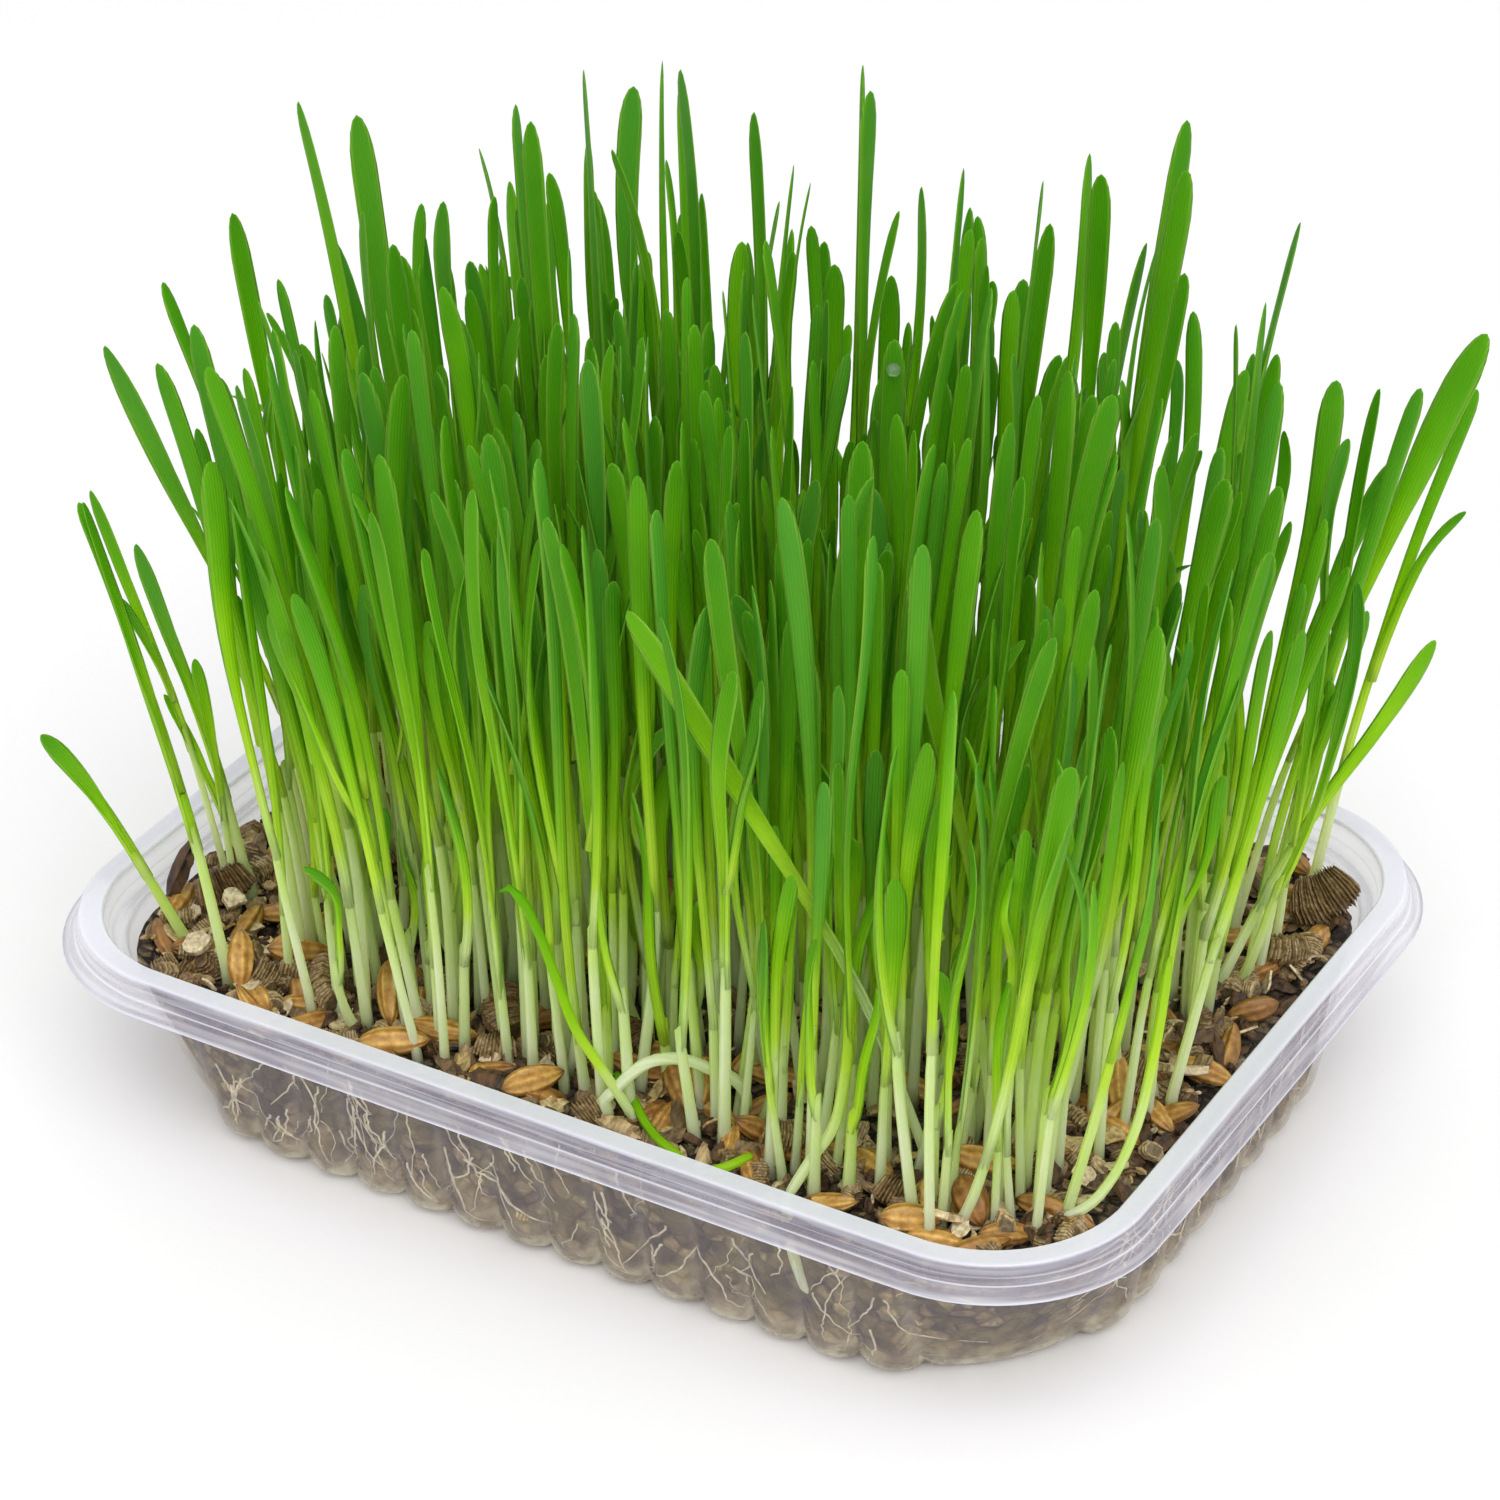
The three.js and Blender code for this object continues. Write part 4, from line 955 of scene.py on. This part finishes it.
def flake_rings(length, width, thickness, draw):
    """A thin pale flake with a torn outline, a little bent."""
    angles = circle(FLAKE_SIDES)
    outline = np.array([draw.uniform(0.66, 1.12) for _ in angles])
    rings = []
    for scale, z in FLAKE_SECTION:
        x = np.cos(angles) * outline * scale * length / 2
        y = np.sin(angles) * outline * scale * width / 2
        bent = draw.choice(FLAKE_BENDS) * x ** 2 + 0.12 * np.sin(y * 1.7)
        rings.append(np.column_stack([x, y, z * thickness + bent]))
    return np.array(rings)


def inside_soil(x, y, margin):
    inset, radius = SCATTER_OUTLINE
    beyond_x = max(0, abs(x) - (TRAY_LENGTH / 2 - inset - radius))
    beyond_y = max(0, abs(y) - (TRAY_WIDTH / 2 - inset - radius))
    return math.hypot(beyond_x, beyond_y) <= radius - margin


def laid_by_rule(tufts):
    """Chips and grains where the CAD source lays them: if a grain, x and y, turn, tilt, roll and size."""
    stream = Stream(SCATTER_SEED)
    laid = []
    pieces = []
    for _ in range(SCATTER_TRIES):
        if len(pieces) == CHIP_COUNT + GRAIN_COUNT:
            break
        is_grain = len(pieces) % 5 < GRAINS_IN_FIVE
        x = SCATTER_HALF[0] * stream.signed()
        y = SCATTER_HALF[1] * stream.signed()
        turn = math.pi * stream.next()
        reach = GRAIN_REACH if is_grain else CHIP_REACH
        ends = [(x + s * math.cos(turn), y + s * math.sin(turn)) for s in (-reach, 0, reach)]
        clear = all(
            all(math.hypot(ex - tx, ey - ty) > TUFT_CLEARANCE for tx, ty in tufts)
            and all(math.hypot(ex - lx, ey - ly) > LAID_CLEARANCE for lx, ly in laid)
            and inside_soil(ex, ey, EDGE_CLEARANCE)
            for ex, ey in ends
        )
        if not clear:
            continue
        laid += ends
        if is_grain:
            pieces.append((True, (x, y), turn, GRAIN_TILT * stream.signed(), 0.0, GRAIN_SIZE))
            continue
        size = [stream.between(*span) for span in CHIP_SIZE]
        for _ in range(CHIP_CORNER_DRAWS):
            stream.next()
        roll = CHIP_ROLL * stream.signed()
        tilt = CHIP_TILT * stream.signed()
        pieces.append((False, (x, y), turn, tilt, roll, size))
    return pieces


class Litter:
    """Bags of the small pieces that lie on the soil or press against the wall."""

    def __init__(self):
        self.bags = {kind: Bag("tone", "grain", "edge") for kind in ("bark", "ridged", "flake", "grain")}

    def add(self, kind, place, turns, size, draw, tone=None):
        """Adds a piece with its turns about Z, Y and X. Its tone is drawn where none is given."""
        values = {}
        if kind == "grain":
            rings, values = grain_rings(*size, draw)
        elif kind == "ridged":
            rings, values = ridged_rings(*size, draw, None if tone is None else NAMED_CURVE)
        elif kind == "bark":
            rings = chunk_rings(*size, draw)
        else:
            rings = flake_rings(*size, draw)
        shade = draw.random() if tone is None else tone
        self.bags[kind].add_rings(placed(rings, place, *turns), tone=shade, **values)

    def add_crumb(self, place, draw):
        size = draw_sizes(draw, CRUMB_SIZE)
        rings = placed(chunk_rings(*size, draw, 3, 5), place, draw.uniform(0, 3.1), draw.gauss(0, 0.5))
        kind = "bark" if draw.random() < CRUMBS_OF_BARK else "flake"
        self.bags[kind].add_rings(rings, tone=draw.random())


def draw_sizes(draw, sizes):
    """Draws each size from its range. One that is a plain number stays as it is."""
    return [draw.uniform(*size) if isinstance(size, tuple) else size for size in sizes]


def draw_place(draw, margin):
    """A place on the soil, more often in the strip along the wall, which the sprouts leave open."""
    half_x, half_y = (half + PLACE_MARGIN for half in SCATTER_HALF)
    while True:
        x = draw.uniform(-half_x, half_x)
        y = draw.uniform(-half_y, half_y)
        if inside_soil(x, y, margin) and (not inside_soil(x, y, OPEN_STRIP) or draw.random() < SHADED_SHARE):
            return x, y


def above_soil(spot, lift):
    return *spot, soil_height(*spot) + lift


def lay_more(litter, kind, given, draw):
    count, margin, sizes, lifts, tilt_spread, roll_spread = given
    for _ in range(count):
        spot = draw_place(draw, margin)
        size = draw_sizes(draw, sizes)
        place = above_soil(spot, draw.uniform(*lifts))
        turn = draw.uniform(*ANY_TURN)
        tilt = draw.gauss(0, tilt_spread)
        roll = draw.gauss(0, roll_spread) if roll_spread else draw.uniform(*ANY_TURN)
        litter.add(kind, place, (turn, tilt, roll), size, draw)


def lay_litter(litter, tufts, draw):
    for is_grain, spot, turn, tilt, roll, size in laid_by_rule(tufts):
        place = above_soil(spot, LAID_LIFT)
        if is_grain:
            flatter = (size[0], size[1], size[2] * LAID_FLATTER)
            litter.add("grain", place, (turn, tilt, draw.uniform(*ANY_TURN)), flatter, draw)
        else:
            kind = "ridged" if draw.random() < CHIPS_RIDGED else "bark"
            litter.add(kind, place, (turn, tilt, roll), size, draw)
    for _ in range(MORE_GRAINS):
        place = above_soil(draw_place(draw, 2.5), draw.uniform(0.6, 1.8))
        size = draw_sizes(draw, MORE_GRAIN_SIZE)
        turns = (draw.uniform(*ANY_TURN), draw.gauss(0, 0.3), draw.uniform(*ANY_TURN))
        litter.add("grain", place, turns, size, draw)
    lay_more(litter, "bark", MORE_BARK, draw)
    lay_more(litter, "ridged", MORE_RIDGED, draw)
    for _ in range(CRUMBS):
        litter.add_crumb(above_soil(draw_place(draw, 0.9), draw.uniform(-0.6, 2.2)), draw)
    lay_more(litter, "flake", MORE_FLAKES, draw)


def line_wall(litter, draw):
    """Pieces that lie flat against the inside of the clear wall."""
    for _ in range(WALL_PIECES):
        z = draw.uniform(2.2, 24.5)
        place, edge = wall_place(draw.random(), z, draw.uniform(0.85, 1.05))
        turn = math.atan2(edge[1], edge[0])
        size = draw_sizes(draw, WALL_PIECE_SIZE)
        choice = draw.random()
        if choice < 0.8:
            kind = "bark" if choice < 0.5 else "ridged"
            litter.add(kind, place, (turn, draw.uniform(-0.8, 0.8), 0.0), size, draw)
        else:
            flat = (size[0], size[2], WALL_FLAKE_THICKNESS)
            litter.add("flake", place, (turn, draw.uniform(-0.2, 0.2), math.pi / 2), flat, draw)


def lay_named(litter, draw):
    for kind, place, turn, tilt, roll, size, tone in NAMED_LITTER:
        litter.add(kind, place, (turn, tilt, roll), size, draw, tone)


def add_roots(bag, draw):
    for _ in range(ROOT_STRANDS):
        turn = draw.random()
        z = draw.uniform(*ROOT_TOPS)
        drift = draw.uniform(-0.0012, 0.0012)
        fall = draw.uniform(0.5, 1.3)
        path = []
        for _ in range(draw.randrange(9, 20)):
            path.append(wall_place(turn, max(2.0, z), ROOT_DEPTH)[0])
            turn += drift + draw.gauss(0, 0.0008)
            drift += draw.gauss(0, 0.0003)
            z -= fall * draw.uniform(0.4, 1.4)
            if z < ROOT_FLOOR:
                fall = -0.1
                drift *= 1.3
        radii = draw.uniform(*ROOT_THICKNESS) * np.linspace(1, 0.45, len(path))
        bag.add_rings(tube_rings(path, radii, ROOT_SIDES), tone=draw.random())


# Materials


def linear(red, green, blue):
    """A colour as seen on a screen, as the renderer's own linear numbers."""
    def one(value):
        return value / 12.92 if value <= 0.04045 else ((value + 0.055) / 1.055) ** 2.4
    return one(red), one(green), one(blue), 1.0


class Surface:
    """A node material, built up step by step. Three numbers are a colour as seen on a screen."""

    def __init__(self, name):
        self.material = bpy.data.materials.new(name)
        self.material.use_nodes = True
        self.tree = self.material.node_tree
        self.tree.nodes.clear()
        self.output = self.tree.nodes.new("ShaderNodeOutputMaterial")

    def node(self, kind, **settings):
        made = self.tree.nodes.new(kind)
        for name, value in settings.items():
            setattr(made, name, value)
        return made

    def put(self, socket, value):
        if isinstance(value, bpy.types.NodeSocket):
            self.tree.links.new(value, socket)
        elif isinstance(value, tuple) and len(value) == 3:
            socket.default_value = linear(*value)
        else:
            socket.default_value = value

    def attribute(self, name):
        return self.node("ShaderNodeAttribute", attribute_name=name).outputs["Fac"]

    def place(self):
        return self.node("ShaderNodeTexCoord").outputs["Object"]

    def height(self):
        split = self.node("ShaderNodeSeparateXYZ")
        self.put(split.inputs[0], self.place())
        return split.outputs["Z"]

    def noise(self, scale, detail=3.0, roughness=0.5, stretch=(1, 1, 1)):
        mapping = self.node("ShaderNodeMapping")
        self.put(mapping.inputs["Vector"], self.place())
        mapping.inputs["Scale"].default_value = stretch
        made = self.node("ShaderNodeTexNoise")
        self.put(made.inputs["Vector"], mapping.outputs["Vector"])
        self.put(made.inputs["Scale"], scale)
        self.put(made.inputs["Detail"], detail)
        self.put(made.inputs["Roughness"], roughness)
        return made.outputs["Fac"]

    def cells(self, scale, feature="F1"):
        made = self.node("ShaderNodeTexVoronoi", feature=feature)
        self.put(made.inputs["Vector"], self.place())
        self.put(made.inputs["Scale"], scale)
        return made.outputs

    def cell_tone(self, scale):
        """A number from 0 to 1 that is the same all over each cell."""
        split = self.node("ShaderNodeSeparateColor")
        self.put(split.inputs[0], self.cells(scale)["Color"])
        return split.outputs[0]

    def math(self, operation, first, second=0.0):
        made = self.node("ShaderNodeMath", operation=operation)
        self.put(made.inputs[0], first)
        self.put(made.inputs[1], second)
        return made.outputs[0]

    def add(self, first, second):
        return self.math("ADD", first, second)

    def times(self, first, second):
        return self.math("MULTIPLY", first, second)

    def ramp(self, factor, stops):
        made = self.node("ShaderNodeValToRGB")
        elements = made.color_ramp.elements
        while len(elements) < len(stops):
            elements.new(0.5)
        for element, (position, colour) in zip(elements, stops):
            element.position = position
            element.color = linear(*colour)
        self.put(made.inputs["Fac"], factor)
        return made.outputs["Color"]

    def mottled(self, pattern, dark, light):
        """A colour that goes from dark to light over a noise pattern."""
        return self.ramp(pattern, [(0.3, dark), (0.7, light)])

    def mix(self, factor, first, second, blend="MIX"):
        made = self.node("ShaderNodeMix", data_type="RGBA", blend_type=blend)
        self.put(made.inputs[0], factor)
        self.put(made.inputs[6], first)
        self.put(made.inputs[7], second)
        return made.outputs[2]

    def tint(self, amount, colour, factors):
        """Multiplies a colour by three linear factors, as far as amount says."""
        return self.mix(amount, colour, self.mix(1.0, colour, (*factors, 1.0), "MULTIPLY"))

    def remap(self, value, low, high, to_low=0.0, to_high=1.0):
        made = self.node("ShaderNodeMapRange")
        for socket, number in zip(made.inputs, (value, low, high, to_low, to_high)):
            self.put(socket, number)
        return made.outputs[0]

    def over(self, pattern, low, high):
        """A number that goes from low to high over a noise pattern."""
        return self.remap(pattern, 0.3, 0.7, low, high)

    def bump(self, height, strength, distance):
        made = self.node("ShaderNodeBump")
        self.put(made.inputs["Height"], height)
        self.put(made.inputs["Strength"], strength)
        self.put(made.inputs["Distance"], distance)
        return made.outputs["Normal"]

    def principled(self, **inputs):
        made = self.node("ShaderNodeBsdfPrincipled")
        for name, value in inputs.items():
            self.put(made.inputs[name.replace("_", " ")], value)
        return made.outputs[0]

    def finish(self, shader):
        self.tree.links.new(shader, self.output.inputs["Surface"])
        return self.material

    def solid(self, **inputs):
        return self.finish(self.principled(**inputs))


def sprout_material():
    s = Surface("sprout")
    green = s.attribute("green")
    tone = s.attribute("tone")
    patch = s.noise(90, 1)
    colour = s.ramp(s.add(green, s.over(patch, -0.05, 0.05)), [
        (0.0, (0.92, 0.95, 0.87)), (0.12, (0.87, 0.93, 0.69)), (0.26, (0.80, 0.91, 0.28)),
        (0.46, (0.64, 0.84, 0.09)), (0.72, (0.46, 0.74, 0.06)), (1.0, (0.34, 0.65, 0.08)),
    ])
    blade_share = s.remap(green, 0.35, 0.6)
    # Bluish tint on part of the blades: partly the leaf's own waxy bloom, partly a painted sheen of the
    # bright surroundings.
    bloom_and_sheen = s.times(s.remap(tone, 0.6, 1.0, 0.0, 0.55), blade_share)
    cool = s.mix(bloom_and_sheen, colour, (0.37, 0.67, 0.25))
    sunny = s.times(s.remap(tone, 0.0, 0.35, 0.7, 0.0), blade_share)
    brighter = s.tint(sunny, cool, (1.6, 1.25, 0.7))
    stripes = s.math("SINE", s.times(s.attribute("veins"), 15.0))
    lined = s.tint(s.remap(stripes, -1, 1, 0.0, 0.16), brighter, (0.55, 0.66, 0.5))
    # Painted highlight along the blade's rims, which also carries into the translucent colour.
    edge_highlight = s.times(s.math("POWER", s.attribute("edge"), 1.6), 0.85)
    rim = s.mix(edge_highlight, lined, (0.68, 0.86, 0.34))
    normal = s.bump(stripes, 0.35, 0.0001)
    leaf = s.principled(
        Base_Color=rim, Roughness=s.over(patch, 0.42, 0.6), Normal=normal, IOR=1.42, Specular_IOR_Level=0.22,
    )
    through = s.node("ShaderNodeBsdfTranslucent")
    s.put(through.inputs["Color"], s.tint(0.7, rim, (1.5, 1.4, 0.5)))
    s.put(through.inputs["Normal"], normal)
    both = s.node("ShaderNodeMixShader")
    s.put(both.inputs[0], 0.42)
    s.put(both.inputs[1], leaf)
    s.put(both.inputs[2], through.outputs[0])
    return s.finish(both.outputs[0])


def clear_plastic():
    s = Surface("clear_plastic")
    facing = s.node("ShaderNodeLayerWeight")
    facing.inputs["Blend"].default_value = 0.3
    frost = s.attribute("frost")
    haze = s.attribute("haze")
    speckle = s.noise(1500, 1)
    # The streaks noise paints reflection streaks along the skirt.
    streaks = s.remap(s.noise(1800, 1, 0.5, (0.03, 0.03, 1)), 0.35, 0.65)
    foot = s.remap(s.height(), 0.001, 0.007, 1.0, 0.0)
    # Painted reflection: the sheet turns whiter and more opaque at grazing angles, standing in for the
    # reflected white surroundings.
    grazing_reflection = s.times(s.math("POWER", facing.outputs["Facing"], 3.0), 0.24)
    clouded = s.times(haze, s.remap(foot, 0.0, 1.0, 0.13, 0.48))
    alpha = s.math("MINIMUM", s.add(s.add(frost, grazing_reflection), clouded), 0.95)
    # The palest stop paints the highlight lines at the lip; the middle stops are the frosted band's own
    # colour.
    band = s.ramp(frost, [
        (0.03, (0.86, 0.84, 0.84)), (0.3, (0.84, 0.83, 0.88)), (0.5, (0.87, 0.87, 0.92)),
        (0.84, (0.90, 0.895, 0.95)), (0.96, (0.97, 0.975, 0.99)),
    ])
    # Painted reflection streaks: darker lavender-grey streaks along the skirt, fading out on the frosted
    # band.
    skirt_reflection = s.times(streaks, s.remap(frost, 0.5, 0.7, 0.75, 0.05))
    reflection_streaked = s.mix(skirt_reflection, band, (0.56, 0.53, 0.60))
    patches = s.remap(s.noise(260, 2, 0.6), 0.4, 0.6)
    damp = s.mix(patches, (0.76, 0.71, 0.71), (0.92, 0.86, 0.75))
    clouds = s.mix(foot, damp, s.mix(patches, (0.70, 0.64, 0.52), (0.96, 0.93, 0.83)))
    colour = s.mix(haze, reflection_streaked, clouds)
    return s.solid(
        Base_Color=s.tint(s.over(speckle, 0.0, 0.14), colour, (0.8, 0.8, 0.82)), Alpha=alpha, IOR=1.5,
        Roughness=s.remap(frost, 0.2, 0.6, 0.08, 0.36),
        Normal=s.bump(speckle, s.remap(frost, 0.45, 0.65, 0.0, 0.2), 0.0002),
    )


def peat_material():
    s = Surface("peat")
    fine = s.noise(700, 2, 0.65)
    tone = s.remap(s.add(s.cell_tone(380), s.times(fine, 1.3)), 0.5, 1.9)
    colour = s.ramp(tone, [
        (0.0, (0.10, 0.07, 0.055)), (0.35, (0.22, 0.165, 0.12)), (0.6, (0.36, 0.29, 0.21)),
        (0.8, (0.52, 0.45, 0.34)), (1.0, (0.72, 0.66, 0.53)),
    ])
    gaps = s.cells(380, "DISTANCE_TO_EDGE")["Distance"]
    # Painted shade in the gaps between crumbs.
    gap_shaded = s.mix(s.remap(gaps, 0.0, 0.14, 0.85, 0.0), colour, (0.07, 0.045, 0.035))
    level = s.add(s.height(), s.over(s.noise(220, 1), -0.003, 0.003))
    rooted = s.mix(s.remap(level, 0.002, 0.010, 0.75, 0.0), gap_shaded, (0.66, 0.59, 0.46))
    relief = s.add(s.times(s.math("MINIMUM", gaps, 0.2), 4.0), fine)
    return s.solid(Base_Color=rooted, Roughness=s.over(fine, 0.55, 0.95), Normal=s.bump(relief, 1.0, 0.0008))


def bark_material():
    s = Surface("bark")
    streaks = s.noise(1100, 2, 0.6, (1, 0.35, 0.35))
    dark = s.mottled(streaks, (0.12, 0.08, 0.05), (0.40, 0.28, 0.17))
    pale = s.mottled(streaks, (0.46, 0.35, 0.22), (0.80, 0.69, 0.51))
    colour = s.mix(s.remap(s.attribute("tone"), 0.45, 1.0), dark, pale)
    normal = s.bump(streaks, 0.9, 0.0005)
    return s.solid(Base_Color=colour, Roughness=s.over(streaks, 0.5, 0.85), Normal=normal)


def vermiculite_material():
    s = Surface("vermiculite")
    layers = s.noise(1500, 2, 0.6)
    deep = s.mottled(layers, (0.34, 0.24, 0.13), (0.62, 0.48, 0.29))
    gold = s.mottled(layers, (0.60, 0.48, 0.30), (0.92, 0.83, 0.62))
    body = s.mix(s.attribute("tone"), deep, gold)
    # Painted shade in the grooves between the plates.
    colour = s.mix(s.remap(s.attribute("edge"), 0.0, 1.0, 0.72, 0.0), body, (0.13, 0.085, 0.05))
    normal = s.bump(layers, 0.8, 0.0004)
    return s.solid(Base_Color=colour, Roughness=s.over(layers, 0.32, 0.6), Normal=normal, Metallic=0.18)


def flake_material():
    s = Surface("pale_flake")
    mottle = s.noise(1200, 2, 0.6)
    cream = s.mottled(mottle, (0.66, 0.57, 0.42), (0.92, 0.87, 0.74))
    gold = s.mottled(mottle, (0.50, 0.38, 0.20), (0.86, 0.74, 0.48))
    colour = s.mix(s.attribute("tone"), cream, gold)
    normal = s.bump(mottle, 0.6, 0.0003)
    return s.solid(Base_Color=colour, Roughness=s.over(mottle, 0.25, 0.5), Normal=normal, Metallic=0.15)


def grain_material():
    s = Surface("grain_husk")
    ribs = s.math("COSINE", s.times(s.attribute("grain"), 7.0))
    mottle = s.noise(700, 2, 0.6)
    gold = s.mottled(mottle, (0.69, 0.47, 0.18), (0.90, 0.72, 0.39))
    brown = s.mottled(mottle, (0.47, 0.30, 0.13), (0.70, 0.50, 0.26))
    body = s.mix(s.remap(s.attribute("tone"), 0.35, 1.0), gold, brown)
    ribbed = s.mix(s.remap(ribs, -1, 1, 0.38, 0.0), body, (0.40, 0.25, 0.10))
    tips = s.mix(s.remap(s.attribute("edge"), 0.75, 1.0, 0.0, 0.7), ribbed, (0.35, 0.22, 0.11))
    normal = s.bump(s.add(ribs, s.times(mottle, 1.4)), 0.5, 0.0003)
    return s.solid(Base_Color=tips, Roughness=s.over(mottle, 0.38, 0.58), Normal=normal)


def root_material():
    s = Surface("root")
    mottle = s.noise(900, 1)
    colour = s.mottled(mottle, (0.70, 0.66, 0.57), (0.90, 0.87, 0.79))
    return s.solid(Base_Color=colour, Roughness=s.over(mottle, 0.35, 0.6), Normal=s.bump(mottle, 0.4, 0.0002))


def water_material():
    s = Surface("water")
    ripple = s.noise(600, 2)
    return s.solid(
        Base_Color=s.mix(ripple, (0.90, 0.96, 0.86), (0.98, 1.0, 0.96)), Roughness=s.over(ripple, 0.02, 0.05),
        Normal=s.bump(ripple, 0.1, 0.0001), IOR=1.33, Transmission_Weight=0.9,
    )


def floor_material():
    s = Surface("studio_floor")
    colour = s.mix(s.noise(3, 2), (0.930, 0.926, 0.932), (0.943, 0.939, 0.945))
    return s.solid(Base_Color=colour, Roughness=0.9, Specular_IOR_Level=0.1)


# Pieces


def finish_piece(made, slot=None, *nodes):
    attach(made, "root")
    if nodes:
        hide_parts(*nodes)


def build_tray():
    profile = round_profile(BODY_OUTSIDE + RIM_SECTION + BODY_INSIDE)
    valley_highlight = VALLEY_HIGHLIGHT * profile[:, 3:4] / DEEPEST_LOBE * wall_valleys(CORNER_STEPS)
    outer = np.arange(len(profile)) < len(BODY_OUTSIDE) * 2
    haze = outer * (1 - smoothstep((profile[:, 0] - HAZE_TOP) / HAZE_FADE))
    rings = [outline_ring(level, CORNER_STEPS) for level in profile]
    bag = Bag("frost", "haze")
    bag.add_rings(rings, frost=profile[:, 4:] + valley_highlight, haze=haze[:, None])
    finish_piece(bag.to_object("tray_clear", clear_plastic()), "clear_plastic", "tray")


def build_medium():
    sides = [outline_ring(level, SOIL_CORNER_STEPS) for level in round_profile(SOIL_SECTION)]
    rim = sides[-1].copy()
    for ring in sides:
        for point in ring:
            swell = SIDE_SWELL * noise.fractal(Vector(point) / SIDE_SWELL_SIZE, 0.8, 2.1, 3)
            point[:2] *= 1 + min(0.0, swell) / 80
    surface = []
    for step in range(1, SOIL_SURFACE_RINGS):
        scale = 1 - step / SOIL_SURFACE_RINGS
        ring = rim * [scale, scale, 0]
        for point in ring:
            clods = noise.fractal(Vector(point) / CLOD_SIZE, 0.9, 2.2, 4)
            point[2] = soil_height(point[0], point[1]) + CLOD_HEIGHT * clods - SURFACE_DROP
        surface.append(ring)
    bag = Bag()
    bag.add_rings(sides + surface)
    finish_piece(bag.to_object("medium_block", peat_material()), "growing_medium", "growing_medium")


def build_litter(tufts):
    draw = random.Random(LITTER_SEED)
    litter = Litter()
    lay_litter(litter, tufts, draw)
    line_wall(litter, draw)
    lay_named(litter, draw)
    for kind, name, material, smooth in (
        ("bark", "bark_chips", bark_material, False),
        ("ridged", "vermiculite", vermiculite_material, False),
        ("flake", "mineral_flakes", flake_material, False),
        ("grain", "husked_grains", grain_material, True),
    ):
        finish_piece(litter.bags[kind].to_object(name, material(), smooth), "growing_medium")


def build_roots():
    bag = Bag("tone")
    add_roots(bag, random.Random(ROOT_SEED))
    finish_piece(bag.to_object("roots", root_material()), "growing_medium")


def row_of(tuft):
    distances = [abs(row_y - tuft[1]) for row_y in TUFT_ROWS]
    return distances.index(min(distances))


def build_sprouts(tufts, sprouts):
    draw = random.Random(SPROUT_DRAW_SEED)
    material = sprout_material()
    drop_blade = drop_sprout(tufts)
    build_drop(drop_blade)
    rows = [row_of(tuft) for tuft in tufts]
    bags = [Bag("green", "tone", "veins", "edge") for _ in TUFT_ROWS]
    for sprout in sprouts + extra_sprouts(tufts, sprouts, draw) + [drop_blade]:
        add_sprout(bags[rows[sprout["tuft"]]], sprout, draw)
    add_named_shoots(bags[0], draw)
    for row, bag in enumerate(bags):
        nodes = [f"sprout_tuft_{number + 1:02d}" for number, own_row in enumerate(rows) if own_row == row]
        finish_piece(bag.to_object(f"sprouts_row_{row + 1}", material), "sprout_green", *nodes)


def build_drop(sprout):
    radius = DROP_SIZE / 2
    middle = spine_at(sprout, [sprout["height"] - DROP_BELOW_TIP])[0] + radius * np.array(DROP_AWAY)
    share = np.linspace(-1, 1, DROP_RINGS)
    path = middle + np.outer(share, [0, 0, radius])
    radii = np.maximum(0.05, radius * np.sqrt(1 - share ** 2) * (1 - 0.15 * share))
    bag = Bag()
    bag.add_rings(tube_rings(path, radii, DROP_SIDES))
    finish_piece(bag.to_object("water_drop", water_material()))


# Studio


def add_camera():
    azimuth, elevation, roll = np.radians([CAMERA_AZIMUTH, CAMERA_ELEVATION, CAMERA_ROLL])
    back = Vector((
        math.cos(elevation) * math.sin(azimuth),
        -math.cos(elevation) * math.cos(azimuth),
        math.sin(elevation),
    ))
    level_right = Vector((math.cos(azimuth), math.sin(azimuth), 0))
    right = level_right * math.cos(roll) + back.cross(level_right) * math.sin(roll)
    data = bpy.data.cameras.new("camera")
    data.lens = CAMERA_LENS
    data.sensor_width = 36
    data.clip_end = 20
    camera = link_object("camera", data)
    turned = Matrix((right, back.cross(right), back)).transposed().to_4x4()
    place = (Vector(CAMERA_TARGET) + back * CAMERA_DISTANCE) * MM
    camera.matrix_world = Matrix.Translation(place) @ turned
    bpy.context.scene.camera = camera


def add_key_light():
    data = bpy.data.lights.new("key", "AREA")
    data.energy = KEY_POWER
    data.size = KEY_SIZE
    aim = (Vector(KEY_TARGET) - Vector(KEY_PLACE)).to_track_quat("-Z", "Y")
    link_object("key", data).matrix_world = Matrix.Translation(KEY_PLACE) @ aim.to_matrix().to_4x4()


def add_studio():
    world = bpy.data.worlds.new("studio")
    world.use_nodes = True
    background = world.node_tree.nodes["Background"]
    background.inputs["Color"].default_value = (1.0, 1.0, 1.0, 1)
    background.inputs["Strength"].default_value = WORLD_STRENGTH
    bpy.context.scene.world = world
    bpy.context.scene.view_settings.view_transform = "Standard"
    add_key_light()
    mesh = bpy.data.meshes.new("studio_floor")
    corners = [(x * FLOOR_HALF, y * FLOOR_HALF, FLOOR_LEVEL) for x, y in ((-1, -1), (1, -1), (1, 1), (-1, 1))]
    mesh.from_pydata(corners, [], [(0, 1, 2, 3)])
    mesh.materials.append(floor_material())
    link_object("studio_floor", mesh)


def main():
    add_camera()
    stream = Stream(TUFT_SEED)
    tufts = place_tufts(stream)
    sprouts = place_sprouts(stream, tufts)
    bend_clear(sprouts)
    build_tray()
    build_medium()
    build_litter(tufts)
    build_roots()
    build_sprouts(tufts, sprouts)
    add_studio()


main()
